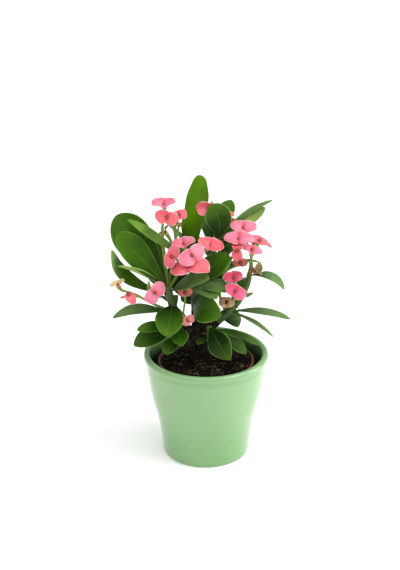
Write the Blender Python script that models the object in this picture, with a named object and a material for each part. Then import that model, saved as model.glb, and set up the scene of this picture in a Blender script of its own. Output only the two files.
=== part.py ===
"""A crown of thorns plant (Euphorbia milii) in a nursery pot, which stands in a glazed ceramic cachepot.

Metres, +Z up. The origin is at the centre of the cachepot's foot ring, and -Y is the side that faces the viewer.
The tables give places in millimetres from that origin, as they were measured off the plant.
"""

import math
import random
from collections import namedtuple

import bmesh
import bpy
from mathutils import Matrix, Vector

MM = 0.001
GAP = 0.3 * MM  # clearance where one piece rests on or stands in another

# Driving dimensions of the pots and the soil
POT_FLOOR = 6 * MM
POT_SIDES = 40
NURSERY_RIM_RADIUS = 50 * MM
NURSERY_FOOT_RADIUS = 36 * MM
NURSERY_TOP = 106.5 * MM
NURSERY_WALL = 1.1 * MM
NURSERY_BAND = 9 * MM  # height of the stiffening band below the rim
NURSERY_SIDES = 36
SOIL_BELOW_RIM = 3.5 * MM
SOIL_MOUND = 4 * MM
SOIL_SIDES = 32

# Driving dimensions of the plant
TRUNK_RADIUS = 9 * MM
TRUNK_FOOT = 68 * MM  # how deep the trunk stands: the height of its buried end
STEM_SIDES = 8
STALK_SIDES = 5
PEDICEL_SIDES = 4
THORN_LENGTH = 8 * MM
THORN_RADIUS = 0.8 * MM
THORN_SPACING = 9 * MM
GOLDEN_ANGLE = math.radians(137.5)
PEDICEL_RADIUS = 0.9 * MM
CUP_RADIUS = 1.9 * MM
CUP_ABOVE = 3.0 * MM  # how far the flower's cup stands above its bracts
CUP_BELOW = 1.1 * MM
BLADE_HALF_THICKNESS = 0.36 * MM
RIB_HALF_THICKNESS = 0.5 * MM

# Outline of a blade: where it is widest, how blunt it is, and the width of its root against its greatest width
Outline = namedtuple("Outline", "widest blunt root stations")
LEAF_STATIONS = (0, 0.16, 0.36, 0.56, 0.73, 0.86, 0.95, 1)
SPOON = Outline(0.66, 0.66, 0.10, LEAF_STATIONS)
ROUND = Outline(0.58, 0.56, 0.10, LEAF_STATIONS)
FAN = Outline(0.70, 0.56, 0.10, LEAF_STATIONS)
TALL = Outline(0.62, 0.36, 0.30, LEAF_STATIONS)
POINTED = Outline(0.60, 0.85, 0.10, LEAF_STATIONS)
BRACT = Outline(0.52, 0.5, 0.42, (0, 0.3, 0.62, 0.87, 1))

# The woody branches: name, points of the middle line, radius at each point
BRANCHES = {
    "left": (((-9, 1, 126), (-21, -3, 144), (-28, -6, 156)), (6.5, 5.6, 4.9)),
    "mid": (((-9, 2, 130), (-10, 5, 147), (-11, 7, 160)), (6.0, 5.2, 4.6)),
    "tall": (((-6, 4, 128), (-1, 9, 146), (1, 11, 160)), (6.0, 5.2, 4.6)),
    "right": (((-6, 0, 126), (4, -1, 143), (12, -2, 152)), (6.5, 5.6, 5.0)),
    "back": (((-7, 5, 122), (-3, 19, 141), (2, 28, 156)), (6.5, 5.4, 4.6)),
    "low_left": (((-10, -1, 116), (-18, -7, 127), (-24, -11, 135)), (5.5, 4.4, 3.8)),
    "low_right": (((-6, -3, 114), (0, -9, 125), (3, -12, 133)), (5.5, 4.4, 3.8)),
}

# The green shoots go on from the branches' ends: points after the branch's own end, radii from the start on, and how
# far round the stem the first thorn stands, in degrees
SHOOTS = {
    "left": (((-35, -6, 172), (-39, -5, 192)), (4.9, 4.2, 3.3), 0),
    "mid": (((-12, 8, 188), (-11, 9, 222)), (4.6, 3.8, 2.9), 0),
    "tall": (((4, 12, 198), (10, 12, 236)), (4.6, 3.8, 2.9), 0),
    "right": (((23, -2, 162), (34, 0, 174), (42, 1, 190), (45, 1, 204)), (5.0, 4.5, 3.8, 3.2, 2.7), 0),
    "back": (((8, 34, 176), (12, 38, 194)), (4.6, 4.0, 3.2), 0),
    "low_left": (((-28, -12, 142), (-30, -11, 149)), (3.8, 3.4, 2.8), 150),
    "low_right": (((4, -13, 142), (3, -12, 150)), (3.8, 3.4, 2.8), 150),
}

# A leaf: how far up its shoot it grows (0 to 1), its tip, which way its upper side looks, its greatest width,
# how much it arches (middle's rise over length), how much it bends sideways, how far it folds up along the rib
Leaf = namedtuple("Leaf", "at tip face width arch side fold outline", defaults=(0.0, 0.0, 0.15, SPOON))
LEAVES = {
    "left": [
        Leaf(0.98, (-91, 12, 262), (1, -6, 2), 40, 0.06, 0.0, 0.15, FAN),
        Leaf(0.90, (-88, -14, 252), (1, -5, 2), 27, 0.05, 0.0, 0.15, FAN),
        Leaf(0.95, (-62, 24, 240), (1, -3, 1), 22, 0.04),
        Leaf(0.75, (-93, -34, 241), (2, -3, 3), 18, -0.26, 0.0, 0.2),
        Leaf(0.85, (-88, -22, 220), (1, 3, 4), 16, 0.05, 0.0, 0.3),
        Leaf(0.10, (-95, -22, 163), (0, -1, 9), 21, 0.10, 0.0, 0.35),
        Leaf(0.45, (-39, -50, 155), (0, -1, 1), 29, 0.10, 0.0, 0.12, ROUND),
        Leaf(0.80, (3, -46, 216), (1, -3, 4), 25, 0.08, 0.0, 0.12),
        Leaf(0.60, (-60, 6, 215), (1, -3, 1), 17, 0.05),
        Leaf(0.40, (-62, 38, 190), (0, 1, 4), 22, 0.10),
        Leaf(0.20, (-50, 44, 158), (0, 1, 2), 24, 0.15),
    ],
    "mid": [
        Leaf(0.92, (-5, 32, 298), (-2, -5, 1), 26, -0.04, -0.06, 0.12, TALL),
        Leaf(0.60, (24, -8, 226), (-1, -6, 3), 24, 0.05, 0.0, 0.1, ROUND),
        Leaf(0.40, (23, -24, 193), (0, -2, 4), 20, 0.16, 0.0, 0.2),
        Leaf(0.20, (15, -44, 176), (-1, -6, 2), 30, 0.12, 0.0, 0.12, ROUND),
        Leaf(0.45, (11, -30, 188), (0, -2, 3), 20, 0.14, 0.0, 0.15, ROUND),
        Leaf(0.80, (-46, 44, 246), (1, 2, 4), 24, 0.08),
        Leaf(0.55, (-26, 50, 215), (0, 1, 4), 22, 0.10),
        Leaf(0.85, (-77, -24, 270), (2, -4, 4), 11, 0.0, 0.0, 0.2),
        Leaf(0.15, (-38, 25, 202), (0, -5, 1), 22, 0.0, 0.0, 0.12, ROUND),
    ],
    "tall": [
        Leaf(0.98, (5, -2, 278), (1, -5, 1), 27, 0.08, 0.12, 0.1, FAN),
        Leaf(1.00, (26, 44, 268), (-1, -3, 2), 19, 0.06),
        Leaf(0.95, (68, 30, 272), (-1, 3, 4), 19, 0.04, 0.0, 0.25),
        Leaf(0.90, (61, 34, 263), (-1, -3, 3), 18, 0.05),
        Leaf(0.85, (25, 14, 252), (-1, -4, 1), 20, -0.05, 0.0, 0.12, ROUND),
        Leaf(0.35, (17, 4, 208), (0, -3, 1), 20, 0.04),
        Leaf(0.75, (-4, 52, 262), (0, 1, 4), 22, 0.10),
        Leaf(0.60, (50, 50, 222), (0, 1, 4), 22, 0.10),
    ],
    "right": [
        Leaf(0.06, (37, 14, 146), (0, -3, 2), 19, 0.05, 0.0, 0.12),
        Leaf(0.94, (81, 2, 185), (0, -1, 4), 18, 0.20, 0.0, 0.15),
        Leaf(0.25, (88, 0, 152), (0, -1, 5), 14, 0.06, 0.0, 0.3),
        Leaf(0.28, (69, -26, 144), (2, 0, 3), 13, 0.03, 0.0, 0.3, POINTED),
        Leaf(0.49, (40, 50, 178), (0, 1, 5), 22, 0.15),
        Leaf(0.35, (44, 50, 156), (0, 1, 4), 22, 0.15),
    ],
    "back": [
        Leaf(0.95, (-20, 86, 216), (1, 1, 4), 25, 0.08),
        Leaf(0.90, (38, 88, 210), (-1, 1, 4), 25, 0.08),
        Leaf(0.75, (60, 66, 190), (0, 1, 5), 23, 0.12),
        Leaf(0.60, (14, 96, 182), (0, 1, 4), 26, 0.15),
        Leaf(0.50, (-38, 74, 180), (0, 1, 4), 24, 0.15),
        Leaf(0.35, (38, 80, 150), (0, 1, 3), 24, 0.18),
        Leaf(0.25, (-14, 84, 146), (0, 1, 3), 24, 0.18),
        Leaf(0.40, (-27, 34, 160), (0, -5, 1), 19, 0.0, 0.0, 0.12, ROUND),
    ],
    "low_left": [
        Leaf(0.95, (-70, -34, 155), (0, -2, 3), 14, 0.08),
        Leaf(0.60, (-74, -30, 136), (0, -2, 3), 22, 0.12),
        Leaf(0.98, (-24, -38, 139), (0, -3, 2), 18, 0.06, 0.0, 0.12, POINTED),
        Leaf(0.20, (-42, -32, 127), (0, -1, 4), 18, 0.10),
    ],
    "low_right": [
        Leaf(0.95, (25, -46, 127), (-1, -4, 2), 24, 0.10, 0.0, 0.2, POINTED),
        Leaf(0.40, (42, -22, 123), (0, -1, 3), 17, 0.12),
        Leaf(0.80, (57, 2, 122), (0, -1, 4), 15, 0.05),
        Leaf(0.30, (-10, -20, 133), (0, -1, 3), 8, 0.05),
    ],
}

# A flower stalk: the shoot and how far up it stands, its further points, its radius
Stalk = namedtuple("Stalk", "shoot at points radius")
STALKS = {
    "a": Stalk("left", 0.97, ((-43, -3, 226), (-44, -1, 254)), 2.1),
    "b": Stalk("left", 0.93, ((-34, 2, 222), (-28, 5, 250)), 1.5),
    "c": Stalk("tall", 0.98, ((9, 12, 248), (9, 13, 258)), 1.5),
    "d": Stalk("left", 0.88, ((-30, -13, 205), (-21, -19, 222)), 1.8),
    "e": Stalk("right", 0.97, ((46, 1, 210), (46, 1, 218)), 2.5),
    "f": Stalk("right", 0.20, ((14, 1, 186), (26, -2, 222)), 1.7),
    "g": Stalk("right", 0.45, ((36, -7, 180), (33, -10, 190)), 1.6),
    "h": Stalk("left", 0.20, ((-54, -15, 176), (-72, -20, 189)), 1.5),
    "i": Stalk("low_left", 0.97, ((-24, -18, 165), (-22, -20, 176)), 1.2),
    "j": Stalk("back", 0.97, ((14, 46, 212), (15, 50, 224)), 1.7),
}

# A bloom: its stalk and where on it its own thin stalk forks off, its centre, which way it looks, how far its pair of
# bracts is turned about that, their span, how far their tips are lifted, in degrees
Bloom = namedtuple("Bloom", "stalk at centre face spin span lift", defaults=(0, 25, 10))
BLOOMS = {
    "a1": Bloom("a", 1.0, (-42, 0, 276), (-1, -3, 6), 0, 26, 14),
    "a2": Bloom("a", 0.9, (-39, -14, 269), (1, -5, 1), -15, 25, 0),
    "a3": Bloom("b", 1.0, (-28, 0, 266), (2, -4, 2), 20, 18, 10),
    "a4": Bloom("b", 0.7, (-31, 11, 253), (1, 3, 2), 60, 16, 10),
    "a5": Bloom("b", 0.4, (-41, 9, 244), (-2, 1, 2), 0, 17, 20),
    "b1": Bloom("c", 0.8, (3, 11, 269), (0, -5, 1), -12, 26, 5),
    "b2": Bloom("c", 1.0, (21, 20, 260), (2, -2, 4), 15, 17, 5),
    "c1": Bloom("d", 0.8, (-22, -10, 238), (-1, -3, 6), 8, 25, 12),
    "c2": Bloom("d", 0.7, (-33, -30, 233), (-2, -5, 3), 62, 24, 5),
    "c3": Bloom("d", 1.0, (-14, -34, 236), (1, -5, 3), 35, 29, 5),
    "c4": Bloom("d", 0.9, (-16, -38, 225), (0, -3, 5), 0, 40, -14),
    "c5": Bloom("d", 1.0, (4, -16, 239), (1, -2, 3), -5, 28, 12),
    "d1": Bloom("e", 1.0, (38, 9, 249), (0, -3, 4), -5, 28, 8),
    "d2": Bloom("f", 1.0, (33, -10, 243), (0, -2, 4), -5, 31, 0),
    "d3": Bloom("f", 0.9, (31, -21, 236), (0, -4, 3), 88, 21, -38),
    "d4": Bloom("e", 0.9, (46, -8, 231), (1, -2, 4), -10, 22, 5),
    "d5": Bloom("e", 0.9, (54, 6, 236), (2, -3, 5), -14, 19, 0),
    "d6": Bloom("e", 0.8, (51, 19, 226), (1, 1, 5), 5, 34, 5),
    "d7": Bloom("f", 0.75, (35, 2, 214), (0, -4, 3), 0, 16, 15),
    "d8": Bloom("e", 0.2, (48, -4, 208), (5, -2, 2), 90, 22, 48),
    "e1": Bloom("g", 0.9, (28, -13, 203), (-1, -3, 3), 0, 22, 15),
    "e2": Bloom("g", 1.0, (29, -23, 193), (1, -4, 2), -30, 24, 10),
    "e3": Bloom("g", 0.6, (22, -20, 179), (-2, -3, 3), -20, 20, 15),
    "f1": Bloom("h", 0.6, (-51, -30, 195), (0, -4, 1), 50, 26, 5),
    "f2": Bloom("h", 0.85, (-78, -33, 193), (0, -1, 3), -45, 22, -48),
    "f3": Bloom("h", 1.0, (-88, -26, 200), (-1, -1, 3), 20, 18, 30),
    "g1": Bloom("i", 1.0, (-21, -19, 190), (0, -4, 3), 0, 16, 20),
    "g2": Bloom("i", 0.6, (-19, -28, 163), (1, -3, 2), 40, 16, 20),
    "h1": Bloom("j", 1.0, (18, 52, 240), (0, 1, 4), 20, 27, 8),
    "h2": Bloom("j", 0.9, (0, 60, 232), (-2, 3, 3), 0, 26, 8),
    "h3": Bloom("j", 0.9, (34, 62, 230), (2, 3, 3), 0, 26, 8),
    "h4": Bloom("j", 0.8, (16, 72, 222), (0, 4, 3), 80, 25, 5),
}
# A bud: its stalk, where it forks off, the bud's place
BUDS = [
    ("c", 0.7, (6, 19, 275)),
    ("c", 0.9, (16, 19, 272)),
    ("h", 0.5, (-58, -22, 204)),
    ("j", 1.0, (22, 44, 242)),
]
BUD_RADIUS = 1.9 * MM


def clear_scene():
    for thing in list(bpy.data.objects):
        bpy.data.objects.remove(thing, do_unlink=True)


def material(name, colour, roughness):
    made = bpy.data.materials.new(name)
    made.use_nodes = True
    shader = made.node_tree.nodes["Principled BSDF"]
    shader.inputs["Base Color"].default_value = (*colour, 1)
    shader.inputs["Roughness"].default_value = roughness
    shader.inputs["Metallic"].default_value = 0
    made.diffuse_color = (*colour, 1)
    return made


def object_from(name, form, finish):
    """A new object in the scene with the form's mesh, its faces turned outwards."""
    bmesh.ops.recalc_face_normals(form, faces=form.faces)
    mesh = bpy.data.meshes.new(name)
    form.to_mesh(mesh)
    form.free()
    mesh.materials.append(finish)
    made = bpy.data.objects.new(name, mesh)
    bpy.context.scene.collection.objects.link(made)
    return made


def fuse(body, repeats):
    """Joins the repeats to the body with one Boolean union, and removes them."""
    group = bpy.data.collections.new(body.name + "_repeats")
    bpy.context.scene.collection.children.link(group)
    for piece in repeats:
        bpy.context.scene.collection.objects.unlink(piece)
        group.objects.link(piece)
    union = body.modifiers.new("fused", "BOOLEAN")
    union.operation = "UNION"
    union.operand_type = "COLLECTION"
    union.collection = group
    union.solver = "MANIFOLD"
    graph = bpy.context.evaluated_depsgraph_get()
    joined = bpy.data.meshes.new_from_object(body.evaluated_get(graph))
    body.modifiers.remove(union)
    body.data = joined
    for piece in repeats:
        bpy.data.objects.remove(piece, do_unlink=True)
    bpy.data.collections.remove(group)
    return body


def smooth_line(points, steps):
    """Points along one smooth curve (Catmull-Rom) through the given points, with so many steps to each stretch."""
    ends = [2 * points[0] - points[1], *points, 2 * points[-1] - points[-2]]
    line = []
    for before, start, end, after in zip(ends, ends[1:], ends[2:], ends[3:]):
        for step in range(steps):
            t = step / steps
            line.append(
                start
                + (end - before) * (t / 2)
                + (2 * before - 5 * start + 4 * end - after) * (t * t / 2)
                + (3 * start - before - 3 * end + after) * (t * t * t / 2)
            )
    line.append(points[-1].copy())
    return line


def along(line, share):
    """The point at that share of the line's points, and the direction there."""
    place = share * (len(line) - 1)
    step = min(int(place), len(line) - 2)
    start, end = line[step], line[step + 1]
    return start.lerp(end, place - step), (end - start).normalized()


def spread(radii, count):
    """The radii at so many even steps, on straight lines between those given."""
    found = []
    for step in range(count):
        place = step / (count - 1) * (len(radii) - 1)
        low = min(int(place), len(radii) - 2)
        found.append(radii[low] + (radii[low + 1] - radii[low]) * (place - low))
    return found


def tube(name, line, radii, sides, finish, leave=None, arrive=None):
    """A closed round bar along the line, with its ends square to leave and arrive where these are given."""
    form = bmesh.new()
    headings = [after - before for before, after in zip(line[:1] + line, line[1:] + line[-1:])]
    headings[0] = leave or headings[0]
    headings[-1] = arrive or headings[-1]
    heading = headings[0].normalized()
    across = heading.orthogonal().normalized()
    rings = []
    for point, radius, ahead in zip(line, radii, headings):
        across.rotate(heading.rotation_difference(ahead.normalized()))
        heading = ahead.normalized()
        ring = []
        for side in range(sides):
            spoke = across.copy()
            spoke.rotate(Matrix.Rotation(2 * math.pi * side / sides, 3, heading))
            ring.append(form.verts.new(point + spoke * radius))
        rings.append(ring)
    for low, high in zip(rings, rings[1:]):
        bmesh.ops.bridge_loops(form, edges=loop_edges(form, low) + loop_edges(form, high))
    form.faces.new(rings[0])
    form.faces.new(rings[-1])
    return object_from(name, form, finish)


def loop_edges(form, ring):
    """The edges that close a ring of points, made where they are missing."""
    edges = []
    for start, end in zip(ring, ring[1:] + ring[:1]):
        edges.append(form.edges.get((start, end)) or form.edges.new((start, end)))
    return edges


def half_width(share, outline):
    """Half a blade's width at that share of its length, against half its greatest width."""
    power = math.log(0.5) / math.log(outline.widest)
    swell = math.sin(math.pi * share**power) ** outline.blunt if 0 < share < 1 else 0
    root = outline.root * (1 - share)
    return max(swell, root, 0.16 * share**8)


def blade(name, line, ups, halves, fold, finish):
    """A thin leaf or bract: a closed solid along the line, so wide at each point, folded up along its rib."""
    form = bmesh.new()
    upper, lower = [], []
    for step, (point, up, half) in enumerate(zip(line, ups, halves)):
        heading = line[min(step + 1, len(line) - 1)] - line[max(step - 1, 0)]
        sideways = heading.cross(up).normalized()
        top_row, low_row = [], []
        for column in (-1, 0, 1):
            surface = point + sideways * (column * half) + up * (abs(column) * half * fold)
            thick = RIB_HALF_THICKNESS if column == 0 else BLADE_HALF_THICKNESS
            top_row.append(form.verts.new(surface + up * thick))
            low_row.append(form.verts.new(surface - up * thick))
        upper.append(top_row)
        lower.append(low_row)
    for grid in (upper, lower):
        for near, far in zip(grid, grid[1:]):
            for outer in (0, 2):
                form.faces.new((near[1], near[outer], far[1]))
                form.faces.new((near[outer], far[outer], far[1]))
    rims = []
    for grid in (upper, lower):
        rims.append([row[0] for row in grid] + grid[-1][1:] + [row[2] for row in grid[-2::-1]] + [grid[0][1]])
    for step in range(len(rims[0])):
        after = (step + 1) % len(rims[0])
        form.faces.new((rims[0][step], rims[0][after], rims[1][after], rims[1][step]))
    return object_from(name, form, finish)


def leaf_blade(base, tip, leaf, finish):
    """A leaf from base to tip on an arch (a quadratic Bezier), with its upper side turned the way it looks."""
    face = Vector(leaf.face)
    length = (tip - base).length
    axis = (tip - base) / length
    normal = (face - axis * face.dot(axis)).normalized()
    across = axis.cross(normal)
    middle = base.lerp(tip, 0.5) + (normal * leaf.arch + across * leaf.side) * (2 * length)
    line, ups, halves = [], [], []
    for share in leaf.outline.stations:
        line.append(base * (1 - share) ** 2 + middle * (2 * share * (1 - share)) + tip * share**2)
        heading = ((middle - base) * (1 - share) + (tip - middle) * share).normalized()
        ups.append((normal - heading * normal.dot(heading)).normalized())
        halves.append(half_width(share, leaf.outline) * leaf.width * MM / 2)
    return blade("leaf", line, ups, halves, leaf.fold, finish)


def bract_pair(centre, face, long_way, half, lift, finish):
    """Two bracts in one blade that runs from tip to tip through the bloom's centre."""
    line, ups, halves = [], [], []
    stations = [-share for share in BRACT.stations[:0:-1]] + list(BRACT.stations)
    for share in stations:
        way = -1 if share < 0 else 1
        rise = math.sin(lift) * abs(share) + 0.12 * math.sin(math.pi * abs(share))
        line.append(centre + long_way * (share * half * math.cos(lift)) + face * (rise * half))
        ups.append(face if share == 0 else (face * math.cos(lift) - long_way * (way * math.sin(lift))))
        halves.append(half_width(abs(share), BRACT) * half * 0.58)
    return blade("bracts", line, ups, halves, 0.1, finish)


def turned(name, outline, sides, finish):
    """A solid turned about the Z axis from an outline of (radius, height) points that starts and ends on the axis."""
    form = bmesh.new()
    points = [form.verts.new((radius, 0, height)) for radius, height in outline]
    edges = [form.edges.new(pair) for pair in zip(points, points[1:])]
    bmesh.ops.spin(
        form, geom=points + edges, axis=(0, 0, 1), cent=(0, 0, 0), angle=2 * math.pi, steps=sides, use_merge=True
    )
    bmesh.ops.remove_doubles(form, verts=form.verts, dist=1e-6)
    return object_from(name, form, finish)


# The cachepot's outer wall from foot to lip, and the rolled lip from outside to inside, as (radius, height)
POT_BODY = ((46.8, 3), (48.2, 19), (51.6, 41), (57, 62), (60.6, 80), (62.8, 94), (64.3, 104))
POT_LIP = ((65, 108.4), (65.8, 110.4), (66, 112.8), (64.9, 115), (62.6, 116), (60.2, 115.2), (58.9, 113), (58.3, 109))


def cachepot(glaze):
    foot = ((0, 0), (44.6, 0), (45.9, 0.8))
    inside = [(radius - 5.5, height) for radius, height in POT_BODY[-2:0:-1]]
    outline = (*foot, *POT_BODY, *POT_LIP, *inside, (40.5, 9), (37, 6), (0, 6))
    return turned("cachepot", [(radius * MM, height * MM) for radius, height in outline], POT_SIDES, glaze)


def nursery_radius(height):
    """The nursery pot's outer radius below its band."""
    base = POT_FLOOR + GAP
    share = (height - base) / (NURSERY_TOP - base)
    return NURSERY_FOOT_RADIUS + (NURSERY_RIM_RADIUS - 1.2 * MM - NURSERY_FOOT_RADIUS) * share


def nursery_pot(plastic):
    base = POT_FLOOR + GAP
    band = NURSERY_TOP - NURSERY_BAND
    outline = [
        (0, base),
        (nursery_radius(base), base),
        (nursery_radius(band), band),
        (NURSERY_RIM_RADIUS - 0.3 * MM, band),
        (NURSERY_RIM_RADIUS, NURSERY_TOP),
        (NURSERY_RIM_RADIUS - 1.3 * MM, NURSERY_TOP),
        (nursery_radius(band) - NURSERY_WALL, band - 1 * MM),
        (nursery_radius(base) - NURSERY_WALL, base + NURSERY_WALL),
        (0, base + NURSERY_WALL),
    ]
    return turned("nursery_pot", outline, NURSERY_SIDES, plastic)


def potting_soil(peat):
    base = POT_FLOOR + NURSERY_WALL + 2 * GAP
    top = NURSERY_TOP - SOIL_BELOW_RIM
    clear = NURSERY_WALL + GAP + 0.2 * MM
    band = NURSERY_TOP - NURSERY_BAND - 1 * MM
    outline = [
        (0, base),
        (nursery_radius(base) - clear, base),
        (nursery_radius(band) - clear, band),
        (nursery_radius(band) - clear + 0.6 * MM, top - 1 * MM),
    ]
    edge = outline[-1][0] - 1.5 * MM
    rings = 5
    for ring in range(rings + 1):
        share = ring / rings
        outline.append((edge * (1 - share), top + SOIL_MOUND * math.sin(share * math.pi / 2)))
    soil = turned("potting_soil", outline, SOIL_SIDES, peat)
    lumps = random.Random(4)
    for point in soil.data.vertices:
        if point.co.z > top - 0.1 * MM:
            point.co.z += lumps.uniform(-0.9, 0.9) * MM
    return soil


def trunk_hole(soil):
    """Cuts the plain hole that the trunk stands in."""
    bpy.ops.mesh.primitive_cylinder_add(
        vertices=2 * STEM_SIDES,
        radius=TRUNK_RADIUS + 2 * GAP,
        depth=2 * (NURSERY_TOP - TRUNK_FOOT),
        location=(TRUNK_LINE[0][0] * MM, TRUNK_LINE[0][1] * MM, NURSERY_TOP - GAP),
    )
    cutter = bpy.context.object
    cut = soil.modifiers.new("trunk_hole", "BOOLEAN")
    cut.operation = "DIFFERENCE"
    cut.object = cutter
    graph = bpy.context.evaluated_depsgraph_get()
    soil.data = bpy.data.meshes.new_from_object(soil.evaluated_get(graph))
    soil.modifiers.clear()
    bpy.data.objects.remove(cutter, do_unlink=True)


TRUNK_LINE = ((-8, 2, 68), (-8, 2, 108), (-8, 1, 124), (-7, 2, 138))
TRUNK_RADII = (9, 9, 8.4, 7.0)


def in_metres(points):
    return [Vector(point) * MM for point in points]


def stem_lines(name):
    """The middle lines of a woody branch and of the green shoot that goes on from it, and the heading where they meet."""
    branch = in_metres(BRANCHES[name][0])
    line = smooth_line(branch + in_metres(SHOOTS[name][0]), 3)
    joint = 3 * (len(branch) - 1)
    heading = (line[joint + 1] - line[joint - 1]).normalized()
    return line[: joint + 1], [line[joint] + heading * GAP] + line[joint + 1 :], heading


def shoot_line(name):
    return stem_lines(name)[1]


def thorns(name, line, radii, first, turn, finish):
    """Three-sided thorns that wind up a stem at the golden angle, in seeded lengths."""
    chance = random.Random(name)
    made = []
    reach = sum((b - a).length for a, b in zip(line, line[1:]))
    count = int(reach / THORN_SPACING)
    for number in range(count):
        share = first + (0.92 - first) * (number + 0.5) / count
        point, heading = along(line, share)
        radius = spread(radii, len(line))[round(share * (len(line) - 1))] * MM
        out = heading.orthogonal().normalized()
        out.rotate(Matrix.Rotation(GOLDEN_ANGLE * number + turn + chance.uniform(0, 0.6), 3, heading))
        long = THORN_LENGTH * chance.uniform(0.7, 1.1)
        tip = point + out * (radius + long) + heading * (0.25 * long)
        root = point + out * (0.4 * radius)
        made.append(tube(f"{name}_thorn", [root, tip], [THORN_RADIUS, 0.25 * MM], 3, finish))
    return made


def woody_trunk(bark):
    line = in_metres(TRUNK_LINE)
    trunk = tube("woody_trunk", line, [radius * MM for radius in TRUNK_RADII], 2 * STEM_SIDES, bark)
    pieces = []
    for name, (_, radii) in BRANCHES.items():
        branch, _, heading = stem_lines(name)
        widths = [radius * MM for radius in spread(radii, len(branch))]
        pieces.append(tube(name, branch, widths, STEM_SIDES, bark, arrive=heading))
        pieces += thorns(name, branch, radii, 0.45, 0, bark)
    return fuse(trunk, pieces)


def curved(start, heading, end, arrival, steps):
    """A line that leaves start along heading and reaches end along arrival (a cubic Bezier)."""
    reach = (end - start).length * 0.38
    leave, arrive = start + heading * reach, end - arrival * reach
    line = []
    for step in range(steps + 1):
        t = step / steps
        s = 1 - t
        line.append(start * s**3 + leave * (3 * s * s * t) + arrive * (3 * s * t * t) + end * t**3)
    return line


def stalk_line(name):
    stalk = STALKS[name]
    start, _ = along(shoot_line(stalk.shoot), stalk.at)
    return smooth_line([start, *in_metres(stalk.points)], 3)


def bloom_place(bloom):
    """The bloom's centre and the way it looks."""
    return Vector(bloom.centre) * MM, Vector(bloom.face).normalized()


def flower_stalks(shoot, green):
    """The flower stalks of one shoot, with the thin stalks that carry their blooms and buds."""
    made = []
    for name, stalk in STALKS.items():
        if stalk.shoot != shoot:
            continue
        line = stalk_line(name)
        widths = [radius * MM for radius in spread((stalk.radius, stalk.radius * 0.8), len(line))]
        made.append(tube(f"stalk_{name}", line, widths, STALK_SIDES, green))
        for bloom in BLOOMS.values():
            if bloom.stalk != name:
                continue
            centre, face = bloom_place(bloom)
            fork, heading = along(line, bloom.at)
            end = centre - face * (CUP_BELOW + GAP)
            route = curved(fork - heading * PEDICEL_RADIUS, heading, end, face, 3)
            widths = [PEDICEL_RADIUS * share for share in (1, 1, 1.1, 1.6)]
            made.append(tube("pedicel", route, widths, PEDICEL_SIDES, green, arrive=face))
        for owner, at, place in BUDS:
            if owner != name:
                continue
            fork, heading = along(line, at)
            end = Vector(place) * MM
            route = curved(fork - heading * PEDICEL_RADIUS, heading, end, (end - fork).normalized(), 4)
            widths = [PEDICEL_RADIUS * 0.8] * 2 + [PEDICEL_RADIUS, BUD_RADIUS, BUD_RADIUS * 0.5]
            made.append(tube("bud", route, widths, STALK_SIDES, green))
    return made


def leafy_shoot(name, green):
    _, line, heading = stem_lines(name)
    radii = SHOOTS[name][1]
    widths = [radius * MM for radius in spread(radii, len(line))]
    shoot = tube(f"leafy_shoot_{name}", line, widths, STEM_SIDES, green, leave=heading)
    pieces = []
    for leaf in LEAVES[name]:
        base, _ = along(line, leaf.at)
        pieces.append(leaf_blade(base, Vector(leaf.tip) * MM, leaf, green))
    pieces += thorns(name, line, radii, 0.1, math.radians(SHOOTS[name][2]), green)
    pieces += flower_stalks(name, green)
    return fuse(shoot, pieces)


def bloom_node(name, bloom, pink):
    """A pair of bracts joined at the foot of the flower's small cup."""
    centre, face = bloom_place(bloom)
    long_way = Vector((1, 0, 0))
    long_way = (long_way - face * long_way.dot(face)).normalized()
    long_way.rotate(Matrix.Rotation(math.radians(bloom.spin), 3, face))
    foot, top = centre - face * CUP_BELOW, centre + face * CUP_ABOVE
    cup = tube(f"bloom_{name}", [foot, top], [CUP_RADIUS * 0.9, CUP_RADIUS * 1.2], 6, pink)
    half = bloom.span * MM / 2
    return fuse(cup, [bract_pair(centre, face, long_way, half, math.radians(bloom.lift), pink)])


def main():
    clear_scene()
    glaze = material("pale_green_glaze", (0.42, 0.66, 0.36), 0.2)
    plastic = material("brown_plastic", (0.32, 0.13, 0.07), 0.5)
    peat = material("peat", (0.03, 0.02, 0.015), 0.95)
    bark = material("bark", (0.10, 0.075, 0.055), 0.9)
    green = material("leaf_green", (0.07, 0.2, 0.03), 0.4)
    pink = material("bract_pink", (0.9, 0.22, 0.28), 0.5)
    cachepot(glaze)
    nursery_pot(plastic)
    trunk_hole(potting_soil(peat))
    woody_trunk(bark)
    for name in SHOOTS:
        leafy_shoot(name, green)
    for name, bloom in BLOOMS.items():
        bloom_node(name, bloom, pink)


main()
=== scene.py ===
# %% [markdown]
# This lesson dresses a crown of thorns plant (Euphorbia milii): a woody, thorny shrub with fleshy leaves
# and pairs of pink bracts, in a brown nursery pot that stands inside a glazed ceramic cachepot. The solids
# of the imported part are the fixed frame. Each main piece below takes the place of some of them, with a
# finer mesh and a real finish.

# %% Load the fixed frame
import math
import random
from collections import namedtuple

import bmesh
import bpy
from mathutils import Matrix, Vector, noise


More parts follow.
